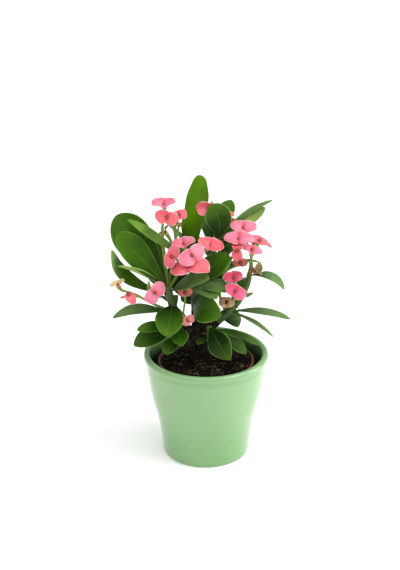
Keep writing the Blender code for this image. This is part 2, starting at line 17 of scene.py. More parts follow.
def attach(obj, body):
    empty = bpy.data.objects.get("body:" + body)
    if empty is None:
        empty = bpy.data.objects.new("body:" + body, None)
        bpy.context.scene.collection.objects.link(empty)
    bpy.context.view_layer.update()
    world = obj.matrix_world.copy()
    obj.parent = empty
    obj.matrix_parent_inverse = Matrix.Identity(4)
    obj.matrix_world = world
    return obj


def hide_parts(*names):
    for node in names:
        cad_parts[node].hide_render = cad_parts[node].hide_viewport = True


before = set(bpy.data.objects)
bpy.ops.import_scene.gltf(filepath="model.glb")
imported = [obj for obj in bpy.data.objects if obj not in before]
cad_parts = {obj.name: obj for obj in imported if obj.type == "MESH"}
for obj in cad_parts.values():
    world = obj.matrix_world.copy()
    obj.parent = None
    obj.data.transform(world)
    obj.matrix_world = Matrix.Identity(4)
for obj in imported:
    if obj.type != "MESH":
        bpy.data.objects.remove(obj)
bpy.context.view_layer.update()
MM = 0.001
print("solids in the frame:", len(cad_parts))

# %% [markdown]
# The camera looks down on the pot by 24 degrees through a long lens, so that the rim shows as a shallow
# ellipse and the pot's sides hardly converge. The shift moves the picture on the sensor without tilting the
# camera, because the plant stands a little below and to the right of the middle of the photograph.

# %% Place the camera
AIM = Vector((0, 0, 0.149))
CAMERA_DISTANCE = 1.2
CAMERA_PITCH = math.radians(24)
SENSOR = 36  # height of the sensor, in millimetres
FRAME_HEIGHT = 570  # the photograph's height, in pixels
FOCAL_PIXELS = 1150
SHIFT_PIXELS = (-6, 37)

lens = bpy.data.cameras.new("camera")
lens.sensor_fit = "VERTICAL"
lens.sensor_height = SENSOR
lens.lens = FOCAL_PIXELS * SENSOR / FRAME_HEIGHT
lens.shift_x, lens.shift_y = (shift / FRAME_HEIGHT for shift in SHIFT_PIXELS)
eye = AIM + CAMERA_DISTANCE * Vector((0, -math.cos(CAMERA_PITCH), math.sin(CAMERA_PITCH)))


def new_object(name, content):
    made = bpy.data.objects.new(name, content)
    bpy.context.scene.collection.objects.link(made)
    return made


def aimed(name, content, place):
    """A camera or a lamp that stands there and looks at the plant's middle."""
    made = new_object(name, content)
    made.location = place
    made.rotation_euler = (AIM - place).to_track_quat("-Z", "Y").to_euler()
    return made


bpy.context.scene.camera = aimed("camera", lens, eye)
print("camera height:", round(eye.z, 3), "m, focal length:", round(lens.lens, 1), "mm")

# %% [markdown]
# A leaf, a stem and a marking are all sums: a point on a curve, plus so much sideways, plus so much
# upwards. Node trees can do such sums, but written node by node they are hard to read. The small class
# below wraps a socket, and turns ordinary arithmetic on it into Math and Vector Math nodes. It serves
# Geometry Nodes and shaders alike.


# %% Arithmetic that builds nodes
class Field:
    """A value on its way through a node tree."""

    def __init__(self, socket):
        self.socket = socket
        self.tree = socket.id_data
        self.is_vector = socket.type in ("VECTOR", "RGBA")

    def sum_with(self, operation, other):
        by_vector = isinstance(other, tuple) or (isinstance(other, Field) and other.is_vector)
        if self.is_vector and operation == "MULTIPLY" and not by_vector:
            operation = "SCALE"
        kind = "ShaderNodeVectorMath" if self.is_vector else "ShaderNodeMath"
        return node(self.tree, kind, self, other, operation=operation)

    def __add__(self, other):
        return self.sum_with("ADD", other)

    def __sub__(self, other):
        return self.sum_with("SUBTRACT", other)

    def __mul__(self, other):
        return self.sum_with("MULTIPLY", other)

    def __pow__(self, other):
        return self.sum_with("POWER", other)

    def __rsub__(self, other):
        return node(self.tree, "ShaderNodeMath", other, self, operation="SUBTRACT")

    def __abs__(self):
        return maths("ABSOLUTE", self)

    __radd__ = __add__


def plug(tree, socket, value):
    """Links a field to a socket, or sets the socket's own value. None leaves it as it is."""
    if isinstance(value, Field):
        tree.links.new(value.socket, socket)
    elif value is not None:
        socket.default_value = value


def node(tree, kind, *values, named=None, output=0, **settings):
    """Adds a node with these settings and inputs, and returns one of its outputs."""
    made = tree.nodes.new(kind)
    for setting, value in settings.items():
        setattr(made, setting, value)
    for socket, value in zip([socket for socket in made.inputs if socket.enabled], values):
        plug(tree, socket, value)
    for label, value in (named or {}).items():
        plug(tree, made.inputs[label], value)
    return Field([socket for socket in made.outputs if socket.enabled][output])


def give_out(tree, value):
    """Ends a node group with its one output."""
    plug(tree, tree.nodes.new("NodeGroupOutput").inputs[0], value)
    return tree


print("arithmetic ready")


# %% Shorter words for the nodes that come back
def maths(operation, first, *others):
    return node(first.tree, "ShaderNodeMath", first, *others, operation=operation)


def vectors(operation, first, *others):
    return node(first.tree, "ShaderNodeVectorMath", first, *others, operation=operation)


def parts(place):
    """The x, y and z of a vector."""
    return [node(place.tree, "ShaderNodeSeparateXYZ", place, output=axis) for axis in range(3)]


def vector_of(x, y, z):
    return node(x.tree, "ShaderNodeCombineXYZ", x, y, z)


def ramp(value, low, high, start=0.0, end=1.0):
    """Goes smoothly from one value to another while the field goes from low to high."""
    settings = {"Value": value, "From Min": low, "From Max": high, "To Min": start, "To Max": end}
    return node(value.tree, "ShaderNodeMapRange", named=settings, interpolation_type="SMOOTHSTEP")


def fall(value, low, high):
    """Goes smoothly from 1 to 0 while the field goes from low to high."""
    return ramp(value, low, high, 1.0, 0.0)


def band(value, start, full, fade, end):
    """1 from full to fade, and 0 outside start and end."""
    return ramp(value, start, full) * fall(value, fade, end)


def noise_at(place, scale, detail=2.0):
    return node(place.tree, "ShaderNodeTexNoise", named={"Vector": place, "Scale": scale, "Detail": detail})


print("short words ready")

# %% [markdown]
# A Geometry Nodes tree works like a small machine with named inputs. The helper makes an empty one, and
# another runs it on an object: it sets the inputs by their identifiers, lets Blender evaluate the object,
# and keeps the result as a plain mesh, so that nothing live is left on the piece.


# %% Words for Geometry Nodes
def position(tree):
    return node(tree, "GeometryNodeInputPosition")


def outward(tree):
    """The way the surface looks."""
    return node(tree, "GeometryNodeInputNormal")


def number(tree, name):
    return node(tree, "GeometryNodeInputNamedAttribute", name, data_type="FLOAT")


def vector(tree, name):
    return node(tree, "GeometryNodeInputNamedAttribute", name, data_type="FLOAT_VECTOR")


def random_between(low, high, seed):
    kind = "FLOAT_VECTOR" if isinstance(low, tuple) else "FLOAT"
    return node(seed.tree, "FunctionNodeRandomValue", low, high, None, seed, data_type=kind)


def moved(geometry, place=None, offset=None):
    return node(geometry.tree, "GeometryNodeSetPosition", geometry, None, place, offset)


def copies(points, shape, turn=None, scale=None):
    """A copy of the shape on each point."""
    return node(points.tree, "GeometryNodeInstanceOnPoints", points, None, shape, None, None, turn, scale)


def real(geometry):
    return node(geometry.tree, "GeometryNodeRealizeInstances", geometry)


def painted(geometry, finish):
    return node(geometry.tree, "GeometryNodeSetMaterial", geometry, None, finish)


print("words for geometry ready")


# %% Make and run Geometry Nodes trees
def new_machine(name, **inputs):
    """An empty tree with a Geometry output, and its named inputs as fields."""
    tree = bpy.data.node_groups.new(name, "GeometryNodeTree")
    tree.interface.new_socket("Geometry", in_out="OUTPUT", socket_type="NodeSocketGeometry")
    for label, kind in inputs.items():
        tree.interface.new_socket(label, in_out="INPUT", socket_type=f"NodeSocket{kind}")
    start = tree.nodes.new("NodeGroupInput")
    return tree, {label: Field(start.outputs[label]) for label in inputs}


def close_machine(tree, geometry, finish=None, smooth=True):
    """Ends the tree with real geometry, its shading and its material, if it has only one."""
    shaped = node(tree, "GeometryNodeSetShadeSmooth", real(geometry), None, smooth)
    return give_out(tree, painted(shaped, finish) if finish else shaped)


def run_machine(piece, tree, **values):
    """Runs the tree on the object, and keeps the result as a plain mesh."""
    modifier = piece.modifiers.new(tree.name, "NODES")
    modifier.node_group = tree
    for item in tree.interface.items_tree:
        if item.in_out == "INPUT" and item.name in values:
            modifier[item.identifier] = values[item.name]
    graph = bpy.context.evaluated_depsgraph_get()
    live = piece.evaluated_get(graph)
    mesh = bpy.data.meshes.new_from_object(live, preserve_all_data_layers=True, depsgraph=graph)
    piece.modifiers.remove(modifier)
    piece.data = mesh
    return piece


print("machines ready")

# %% [markdown]
# Blender's shaders add up light in linear values, while a colour picker shows screen values from 0 to 255.
# Colours are written here the second way and turned into the first. Each finished piece rides on the one
# body of the part.


# %% Colours, and what becomes of a finished piece
def colour(red, green, blue):
    """A colour in screen values from 0 to 255, as the linear values that shaders use."""
    shares = (red / 255, green / 255, blue / 255)
    return tuple(share / 12.92 if share <= 0.04045 else ((share + 0.055) / 1.055) ** 2.4 for share in shares)


def keep(piece, slot, *nodes):
    """The finished piece rides on the part's body and stands for these solids."""
    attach(piece, "root")
    if nodes:
        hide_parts(*nodes)
    triangles = sum(len(face.vertices) - 2 for face in piece.data.polygons)
    print(piece.name, triangles, "triangles for", len(nodes), "solids")


print("white in linear values:", colour(255, 255, 255))

# %% [markdown]
# The photograph was lit for a catalogue: a white sheet that burns out to pure white, a soft light from high
# up, and a narrower one from the right that puts a highlight on the lip and a faint shadow on the left.
# Suns light the whole sheet alike, however far it reaches, and a wide sun angle makes the shadows soft. The
# sheet glows a little, as if lit from behind, so its shadows stay pale. A tall soft box on the right gives
# the pot its bright edge. The world is darker than the white that the camera sees, so that the shade among
# the leaves stays deep.

# %% Light and floor
WORLD_STRENGTH = 0.4
SKY_STRENGTH = 1.9
SKY_FROM = Vector((0.15, -0.25, 1.0))
SKY_ANGLE = 100
KEY_STRENGTH = 1.15
KEY_FROM = Vector((1.0, -0.35, 1.3))
KEY_ANGLE = 28
BOX_POWER = 4.5
BOX_PLACE = Vector((1.1, 0.1, 0.5))
BOX_SIZE = (0.5, 0.9)
SHEET_GLOW = 0.22
FLOOR_WIDTH = 24

world = bpy.data.worlds.new("white_studio")
world.use_nodes = True
backdrop = world.node_tree.nodes["Background"]
backdrop.inputs["Color"].default_value = (1, 1, 1, 1)
seen = node(world.node_tree, "ShaderNodeLightPath")
plug(world.node_tree, backdrop.inputs["Strength"], seen * (1 - WORLD_STRENGTH) + WORLD_STRENGTH)
bpy.context.scene.world = world
bpy.context.scene.view_settings.view_transform = "Standard"

for name, strength, direction, angle in (
    ("sky_light", SKY_STRENGTH, SKY_FROM, SKY_ANGLE),
    ("key_light", KEY_STRENGTH, KEY_FROM, KEY_ANGLE),
):
    lamp = bpy.data.lights.new(name, "SUN")
    lamp.energy = strength
    lamp.angle = math.radians(angle)
    aimed(name, lamp, AIM + direction)
soft_box = bpy.data.lights.new("soft_box", "AREA")
soft_box.shape = "RECTANGLE"
soft_box.size, soft_box.size_y = BOX_SIZE
soft_box.energy = BOX_POWER
aimed("soft_box", soft_box, BOX_PLACE)

sheet = bmesh.new()
bmesh.ops.create_grid(sheet, x_segments=1, y_segments=1, size=FLOOR_WIDTH / 2)
floor_mesh = bpy.data.meshes.new("floor")
sheet.to_mesh(floor_mesh)
sheet.free()
floor = new_object("floor", floor_mesh)
print("light and floor placed")

# %% [markdown]
# Three effects come back in several finishes, so each is a shader node group with named inputs. Mottle is a
# soft cloudy variation in object coordinates. Veins are thin slanting lines that leave a midrib in pairs.
# Margin is a band along a blade's edge. The groups give out masks only, and the shaders stay in the
# materials.


# %% Shader groups
VEIN_WANDER = (90.0, 0.5)  # how fine and how strong the veins' wandering is
VEIN_SHARPNESS = 9
VEIN_END = (0.75, 1.0)  # where the veins fade, from the midrib at 0 to the edge at 1


def object_place(tree):
    return node(tree, "ShaderNodeTexCoord", output=3)


def shader_group(name, **inputs):
    """An empty group that gives out a mask, and its named inputs as fields."""
    tree = bpy.data.node_groups.new(name, "ShaderNodeTree")
    for label, value in inputs.items():
        tree.interface.new_socket(label, in_out="INPUT", socket_type="NodeSocketFloat").default_value = value
    tree.interface.new_socket("Mask", in_out="OUTPUT", socket_type="NodeSocketFloat")
    start = tree.nodes.new("NodeGroupInput")
    return tree, [Field(start.outputs[label]) for label in inputs]


def mottle_group():
    tree, (scale, low, high) = shader_group("mottle", Scale=100, Low=0.35, High=0.65)
    cloud = noise_at(object_place(tree), scale, 3.0)
    return give_out(tree, node(tree, "ShaderNodeMapRange", cloud, low, high, 0.0, 1.0))


def veins_group():
    tree, (along, across, pairs, slant) = shader_group("veins", Along=0, Across=0, Pairs=9, Slant=0.2)
    wander = noise_at(object_place(tree), VEIN_WANDER[0]) * VEIN_WANDER[1]
    phase = (along - abs(across) * slant) * pairs + wander
    wave = maths("SINE", phase * math.tau) * 0.5 + 0.5
    return give_out(tree, wave**VEIN_SHARPNESS * fall(abs(across), *VEIN_END))


def margin_group():
    tree, (across, start) = shader_group("margin", Across=0, Start=0.9)
    return give_out(tree, node(tree, "ShaderNodeMapRange", abs(across), start, 1.0, 0.0, 1.0))


MOTTLE, VEINS, MARGIN = mottle_group(), veins_group(), margin_group()
print("shader groups:", MOTTLE.name, VEINS.name, MARGIN.name)


# %% Helpers for materials
def effect(tree, group, **values):
    return node(tree, "ShaderNodeGroup", node_tree=group, named=values)


def clouds(tree, scale, low=0.35, high=0.65):
    """A cloudy mask. The closer low and high are, the crisper the clouds."""
    return effect(tree, MOTTLE, Scale=scale, Low=low, High=high)


def painted_number(tree, name):
    return node(tree, "ShaderNodeAttribute", attribute_name=name, output=2)


def painted_colour(tree, name):
    return node(tree, "ShaderNodeAttribute", attribute_name=name, output=0)


def new_finish(name, **constants):
    """A material, its tree and its shader, with values that are the same all over the surface."""
    made = bpy.data.materials.new(name)
    made.use_nodes = True
    shader = made.node_tree.nodes["Principled BSDF"]
    for label, value in constants.items():
        shader.inputs[label.replace("_", " ")].default_value = value
    return made, made.node_tree, shader


def layered(tone, *layers):
    """Lays further colours over the first, each through its own mask."""
    for mask, over in layers:
        colours = [value if isinstance(value, Field) else (*value, 1) for value in (tone, over)]
        tone = node(mask.tree, "ShaderNodeMix", mask, *colours, data_type="RGBA")
    return tone


def paint(shader, tone, height=None, depth=0.0, strength=1.0, roughness=None):
    """Gives the shader its colour, a relief with its full depth in metres, and its roughness."""
    tree = shader.id_data
    plug(tree, shader.inputs["Base Color"], tone)
    plug(tree, shader.inputs["Roughness"], roughness)
    if height:
        relief = {"Strength": strength, "Distance": depth, "Height": height}
        plug(tree, shader.inputs["Normal"], node(tree, "ShaderNodeBump", named=relief))


PAPER = (0.93, 0.93, 0.93)
PAPER_BRIGHT = (0.95, 0.95, 0.95)
floor_finish, tree, shader = new_finish("white_sheet", Roughness=0.9, Emission_Strength=SHEET_GLOW)
paint(shader, layered(PAPER, (clouds(tree, 3.0), PAPER_BRIGHT)))
floor_mesh.materials.append(floor_finish)
print("floor finish:", floor_finish.name)

# %% [markdown]
# Pots are thrown or moulded round, so each is one outline turned about the upright axis. The outlines
# repeat the solids' own measures, with more points along the curves and more sides, so that the lip is
# round and no flat shows.


# %% Turn an outline into a pot
def smooth_line(points, steps):
    """Points along one smooth curve (Catmull-Rom) through those given, with so many steps to each stretch."""
    ends = [2 * points[0] - points[1], *points, 2 * points[-1] - points[-2]]
    line = []
    for before, start, end, after in zip(ends, ends[1:], ends[2:], ends[3:]):
        for step in range(steps):
            t = step / steps
            line.append(
                start
                + (end - before) * (t / 2)
                + (2 * before - 5 * start + 4 * end - after) * (t * t / 2)
                + (3 * start - before - 3 * end + after) * (t * t * t / 2)
            )
    line.append(points[-1].copy())
    return line


def turned(name, outline, sides):
    """A closed solid turned about Z, from (radius, height) points in millimetres that start and end on it."""
    form = bmesh.new()
    turns = [math.tau * side / sides for side in range(sides)]
    rings = []
    for radius, height in outline[1:-1]:
        ring = [(radius * math.cos(turn), radius * math.sin(turn), height) for turn in turns]
        rings.append([form.verts.new(Vector(place) * MM) for place in ring])
    for low, high in zip(rings, rings[1:]):
        for side in range(sides):
            after = (side + 1) % sides
            form.faces.new((low[side], low[after], high[after], high[side]))
    for ring, (_, height) in ((rings[0], outline[0]), (rings[-1], outline[-1])):
        pole = form.verts.new((0, 0, height * MM))
        for side in range(sides):
            form.faces.new((ring[side], ring[(side + 1) % sides], pole))
    bmesh.ops.recalc_face_normals(form, faces=form.faces)
    mesh = bpy.data.meshes.new(name)
    form.to_mesh(mesh)
    form.free()
    mesh.shade_smooth()
    return new_object(name, mesh)


print("lathe ready")

# %% Cachepot
POT_SIDES = 144
POT_STEPS = 5
POT_FLOOR = 6
POT_BODY = ((46.8, 3), (48.2, 19), (51.6, 41), (57, 62), (60.6, 80), (62.8, 94), (64.3, 104))
POT_ROLL = ((65, 108.4), (65.8, 110.4), (66, 112.8), (64.9, 115), (62.6, 116))
POT_LIP = (*POT_ROLL, (60.2, 115.2), (58.9, 113), (58.3, 109))
POT_WALL = 5.5

foot = [(0, 0), (43.6, 0), (44.6, 0.15), (45.6, 0.7), (46.2, 1.5)]
inside = [(radius - POT_WALL, height) for radius, height in POT_BODY[-2:0:-1]]
wall = [Vector(point) for point in (*POT_BODY, *POT_LIP, *inside, (40.5, 9), (37, POT_FLOOR))]
outline = [*foot, *[tuple(point) for point in smooth_line(wall, POT_STEPS)], (0, POT_FLOOR)]
cachepot = turned("glazed_cachepot", outline, POT_SIDES)
print("cachepot:", [round(side, 4) for side in cachepot.dimensions])

# %% [markdown]
# The glaze is a pale green glass melted over white clay. It is glossy, so a clear coat lies over a smooth
# base. Its colour isn't even: it is a shade darker in drifting clouds, toward the foot and on the lip's
# roll, a ring of painted shade darkens it just under the lip, it breaks lighter along the crest, and its
# surface waves a little, which shows only in the reflections. Height and noise drive all of these. Inside,
# below the lip, the wall is painted dark with shade, so the gap round the nursery pot looks deep.

# %% Glaze
GLAZE_LIGHT = colour(136, 177, 122)
# a darker glaze tone, also used for the painted shade under the lip
GLAZE_DEEP_AND_SHADE = colour(108, 156, 91)
GLAZE_THIN = colour(168, 206, 152)
# painted shade on the inner wall below the lip, where the lip and the leaves keep the light out
WELL_SHADE = colour(14, 26, 8)
CREST = 113 * MM  # the height of the lip's crest
CREST_BREADTH = 3.5 * MM
LIP_ROLL = (0.104, 0.109)  # the heights between which the lip's roll begins
UNDER_LIP_SHADE = (0.100, 0.106, 0.107, 0.111)  # the heights of the ring of painted shade under the lip
FOOT_ROLL = 6 * MM
WELL_RADIUS = (0.0590, 0.0596)  # only the inner wall is nearer to the axis than this
WELL_HEIGHTS = (0.080, 0.086, 0.100, 0.1125)

glaze, tree, shader = new_finish("pale_green_glaze", Roughness=0.2, Coat_Weight=0.6, Coat_Roughness=0.06)
place = object_place(tree)
height = parts(place)[2]
drift = clouds(tree, 22.0, 0.3, 0.7)
# painted shade in a ring under the lip, and a darker glaze at the foot
lip_shade_and_foot = maths("MAXIMUM", band(height, *UNDER_LIP_SHADE), fall(height, 0.0, FOOT_ROLL))
downward = fall(height, 0.0, POT_BODY[-1][1] * MM)
# thick darkens the glaze in drifting clouds, toward the foot and on the lip's roll, and adds the painted
# shade under the lip
thick = drift * 0.2 + lip_shade_and_foot * 0.25 + downward * 0.6 + ramp(height, *LIP_ROLL) * 0.3
painted_well_shade = fall(vectors("LENGTH", place * (1, 1, 0)), *WELL_RADIUS) * band(height, *WELL_HEIGHTS)
tone = layered(
    GLAZE_LIGHT,
    (maths("MINIMUM", thick, 1.0), GLAZE_DEEP_AND_SHADE),
    (fall(abs(height - CREST), 0.0, CREST_BREADTH) * 0.12, GLAZE_THIN),
    (ramp(noise_at(place, 900.0), 0.72, 0.78) * 0.15, GLAZE_DEEP_AND_SHADE),
    # painted shade on the inner wall below the lip
    (painted_well_shade * 0.75, WELL_SHADE),
)
waves = noise_at(place, 45.0, 1.0) + noise_at(place, 420.0) * 0.08
paint(shader, tone, waves, 0.0006, 0.5, roughness=0.16 + drift * 0.08)
cachepot.data.materials.append(glaze)
keep(cachepot, "pale_green_glaze", "cachepot")

# %% [markdown]
# The nursery pot is thin injection-moulded plastic, with a stiff band and a rolled rim. Only the rim shows,
# as a brown ring round the soil. Its finish is a fine moulded grain with a few scuffs and dried soil on it.

# %% Nursery pot
NURSERY_SIDES = 120
NURSERY_TOP = 106.5
NURSERY_RIM = 50
NURSERY_FOOT = 36
NURSERY_TAPER = 1.2  # how far the wall stays inside the rim at the top
NURSERY_BASE = POT_FLOOR + 0.3
NURSERY_BAND = NURSERY_TOP - 9
NURSERY_WALL = 1.1
# The band and the rolled rim, as radius past NURSERY_RIM and height above NURSERY_TOP
NURSERY_EDGE = ((-0.1, -2.4), (0.5, -1.6), (0.6, -0.7), (0, 0), (-1.1, -0.1), (-1.6, -1.2))
PLASTIC_DARK = colour(98, 54, 36)
PLASTIC_LIGHT = colour(128, 76, 54)
PLASTIC_SCUFF = colour(92, 58, 38)


def nursery_radius(height):
    """The nursery pot's outer radius below its band."""
    share = (height - NURSERY_BASE) / (NURSERY_TOP - NURSERY_BASE)
    return NURSERY_FOOT + (NURSERY_RIM - NURSERY_TAPER - NURSERY_FOOT) * share


outline = [
    (0, NURSERY_BASE),
    (nursery_radius(NURSERY_BASE), NURSERY_BASE),
    (nursery_radius(NURSERY_BAND), NURSERY_BAND),
    (NURSERY_RIM - 0.4, NURSERY_BAND + 0.2),
    *[(NURSERY_RIM + out, NURSERY_TOP + up) for out, up in NURSERY_EDGE],
    (nursery_radius(NURSERY_BAND) - NURSERY_WALL, NURSERY_BAND - 1),
    (nursery_radius(NURSERY_BASE) - NURSERY_WALL, NURSERY_BASE + NURSERY_WALL),
    (0, NURSERY_BASE + NURSERY_WALL),
]
nursery_pot = turned("nursery_pot_wall", outline, NURSERY_SIDES)

plastic, tree, shader = new_finish("brown_plastic", Roughness=0.5)
scuffs = clouds(tree, 260.0, 0.45, 0.7)
tone = layered(PLASTIC_DARK, (clouds(tree, 40.0), PLASTIC_LIGHT), (scuffs * 0.45, PLASTIC_SCUFF))
paint(shader, tone, noise_at(object_place(tree), 1500.0), 0.0002, 0.4, roughness=0.42 + scuffs * 0.3)
nursery_pot.data.materials.append(plastic)
keep(nursery_pot, "brown_plastic", "nursery_pot")

# %% [markdown]
# Potting soil is peat with bits of bark, fibre and some moss. Its bed is a closed solid, turned like the
# pots, whose top is pushed up and down by noise. What lies loose on it comes next, as real geometry.

# %% Soil bed
SOIL_TOP = NURSERY_TOP - 3.5
SOIL_MOUND = 4
SOIL_GAP = 0.5  # between the solid's soil and the pot's wall
SOIL_SPREAD = 0.6  # how far the bed's top spreads past the solid's, so that no gap shows
SOIL_EDGE = nursery_radius(NURSERY_BAND) - NURSERY_WALL - SOIL_GAP + SOIL_SPREAD
SOIL_RINGS = 34
SOIL_SIDES = 132
SOIL_BASE = POT_FLOOR + NURSERY_WALL + 0.6
SOIL_FOOT = nursery_radius(SOIL_BASE) - NURSERY_WALL - SOIL_GAP
SOIL_WAVES = ((60, 1.5), (170, 1.3), (420, 0.8))  # how many to the metre, and how high in millimetres
PEAT_DARK = colour(7, 6, 4)
PEAT_LIGHT = colour(24, 18, 13)
PEAT_GRAIN = colour(52, 40, 29)

outline = [(0, SOIL_BASE), (SOIL_FOOT, SOIL_BASE), (SOIL_EDGE - 0.3, NURSERY_BAND - 1)]
for ring in range(SOIL_RINGS + 1):
    share = ring / SOIL_RINGS
    outline.append((SOIL_EDGE * (1 - share), SOIL_TOP - 1 + (SOIL_MOUND + 1) * math.sin(share * math.pi / 2)))
soil_bed = turned("soil_bed", outline, SOIL_SIDES)
for point in soil_bed.data.vertices:
    if point.co.z > (SOIL_TOP - 1.5) * MM:
        point.co.z += sum(noise.noise(point.co * scale) * rise for scale, rise in SOIL_WAVES) * MM

peat, tree, shader = new_finish("peat", Roughness=0.95, Specular_IOR_Level=0.1)
lumps, grains = clouds(tree, 110.0), clouds(tree, 700.0, 0.4, 0.65)
tone = layered(PEAT_DARK, (lumps, PEAT_LIGHT), (grains * 0.3, PEAT_GRAIN))
paint(shader, tone, noise_at(object_place(tree), 600.0, 4.0), 0.0012)
soil_bed.data.materials.append(peat)
keep(soil_bed, "peat", "potting_soil")

# %% [markdown]
# Crumbs, bark chips and moss tufts are the same thing to Geometry Nodes: a small lump, scattered over the
# faces of the soil that look up, each turned and scaled by a seeded random number and then pushed out of
# shape by noise. One tree makes them all, with the density, the size, the flatness and the seed as inputs.

# %% A machine that scatters crumbs
LOOKS_UP = (0.2, 0.4)  # how steeply a face looks up where crumbs begin to lie, and where they lie in full
SOIL_RIM = ((SOIL_TOP - 3) * MM, (SOIL_TOP - 2) * MM)  # the heights between which they begin to lie
PATCHES_PER_METRE = 55.0
PATCH_EDGE = (0.5, 0.62)
CRUMB_TURN = (0.08, 0.08, 1.0)  # how much of a full turn a crumb may make about each axis
CRUMB_SIZES = (0.4, 1.3)
CRUMB_LENGTHS = (0.7, 1.7)
CRUMB_DENTS = (260.0, 1.6)  # how many to the metre, and how deep over the crumb's size
FULL_TURN = 6.28


def crumbs_machine():
    tree, put = new_machine(
        "crumbs_on_soil",
        Geometry="Geometry",
        Density="Float",
        Size="Float",
        Flatness="Float",
        Patchiness="Float",
        Seed="Int",
        Finish="Material",
    )
    seed, place, looks = put["Seed"], position(tree), outward(tree)
    on_top = ramp(parts(looks)[2], *LOOKS_UP) * ramp(parts(place)[2], *SOIL_RIM)
    patches = ramp(noise_at(place + seed, PATCHES_PER_METRE), *PATCH_EDGE)
    density = put["Density"] * (patches * put["Patchiness"] + (1 - put["Patchiness"])) * on_top
    points = node(tree, "GeometryNodeDistributePointsOnFaces", put["Geometry"], None, density, seed)
    turn = random_between((0, 0, 0), (FULL_TURN, FULL_TURN, FULL_TURN), seed) * CRUMB_TURN
    size = random_between(*CRUMB_SIZES, seed + 7) * put["Size"]
    long = random_between(*CRUMB_LENGTHS, seed + 3) * size
    lump = node(tree, "GeometryNodeMeshIcoSphere", 1.0, 2)
    lumps = copies(points, lump, turn, vector_of(long, size, size * put["Flatness"]))
    push = (noise_at(place, CRUMB_DENTS[0]) - 0.5) * put["Size"] * CRUMB_DENTS[1]
    return close_machine(tree, moved(real(lumps), offset=looks * push), put["Finish"], smooth=False)


CRUMBS = crumbs_machine()
print("machine:", CRUMBS.name)


# %% Scatter crumbs, bark chips and moss
def dull_finish(name, dark, light, scale):
    made, tree, shader = new_finish(name, Roughness=0.9, Specular_IOR_Level=0.15)
    tone = layered(colour(*dark), (clouds(tree, scale, high=0.6), colour(*light)))
    paint(shader, tone, noise_at(object_place(tree), scale * 6), 0.0004)
    return made


# Each kind: how many to the square metre, size in millimetres, flatness, patchiness, seed, and its finish
CRUMB_KINDS = {
    "soil_crumbs": (270000, 0.95, 0.75, 0.0, 3, ("crumb_peat", (3, 3, 2), (20, 15, 10), 300)),
    "bark_chips": (15000, 1.6, 0.3, 0.5, 11, ("bark_chip", (18, 13, 9), (64, 46, 32), 200)),
    "pale_bits": (9000, 0.6, 0.5, 0.8, 23, ("pale_bit", (120, 100, 72), (190, 168, 130), 300)),
    "moss_tufts": (150000, 0.6, 0.9, 1.0, 31, ("moss", (16, 28, 9), (72, 96, 40), 500)),
}
for name, (density, size, flatness, patchiness, seed, look) in CRUMB_KINDS.items():
    sizes = {"Density": density, "Size": size * MM, "Flatness": flatness, "Patchiness": patchiness}
    piece = new_object(name, soil_bed.data.copy())
    run_machine(piece, CRUMBS, **sizes, Seed=seed, Finish=dull_finish(*look))
    keep(piece, "peat")

# %% [markdown]
# Coir and root fibres lie about on the peat like loose threads. Each is one short bent curve with a thin
# round skin, scattered like the crumbs, and then all their points are swayed by noise, so that no two bend
# alike.

# %% Scatter fibres
FIBRE_BEND = [(-4 * MM, 0, 0), (0, 3 * MM, 1.6 * MM), (4 * MM, 0, 0)]
FIBRE_SWAY = (12 * MM, 12 * MM, 5 * MM)
FIBRE_REST = (0.5, 0.5, 0.42)  # where the noise leaves a thread as it is, a little low so that threads rise
FIBRE_CURLS_PER_METRE = 130.0
FIBRE_LEAN = 0.2


def fibres_machine():
    tree, put = new_machine(
        "fibres_on_soil", Geometry="Geometry", Density="Float", Radius="Float", Seed="Int", Finish="Material"
    )
    seed, place = put["Seed"], position(tree)
    density = ramp(parts(place)[2], (SOIL_TOP - 2) * MM, (SOIL_TOP - 1) * MM) * put["Density"]
    points = node(tree, "GeometryNodeDistributePointsOnFaces", put["Geometry"], None, density, seed)
    thread = node(tree, "GeometryNodeCurveQuadraticBezier", 8, *FIBRE_BEND)
    skin = node(tree, "GeometryNodeCurvePrimitiveCircle", 4, named={"Radius": put["Radius"]})
    thread = node(tree, "GeometryNodeCurveToMesh", thread, skin, None, True)
    turn = random_between((-FIBRE_LEAN, -FIBRE_LEAN, 0), (FIBRE_LEAN, FIBRE_LEAN, 6.3), seed)
    sway = node(tree, "ShaderNodeTexNoise", named={"Vector": place, "Scale": FIBRE_CURLS_PER_METRE}, output=1)
    offset = (sway - FIBRE_REST) * FIBRE_SWAY
    return close_machine(tree, moved(real(copies(points, thread, turn)), offset=offset), put["Finish"])


FIBRES = fibres_machine()
# Each kind: how many to the square metre, radius in millimetres, seed, and its finish
FIBRE_KINDS = {
    "pale_fibres": (22000, 0.15, 5, ("pale_fibre", (72, 62, 40), (176, 154, 108), 300)),
    "dark_fibres": (40000, 0.22, 8, ("dark_fibre", (16, 11, 8), (44, 32, 22), 300)),
}
for name, (density, radius, seed, look) in FIBRE_KINDS.items():
    piece = new_object(name, soil_bed.data.copy())
    run_machine(piece, FIBRES, Density=density, Radius=radius * MM, Seed=seed, Finish=dull_finish(*look))
    keep(piece, "peat")

# %% [markdown]
# The plant's stems repeat the solids' middle lines. A woody branch goes on as a green shoot, and flower
# stalks rise from the shoots and fork into the thin stalks of the single flowers. The tables give places in
# millimetres.

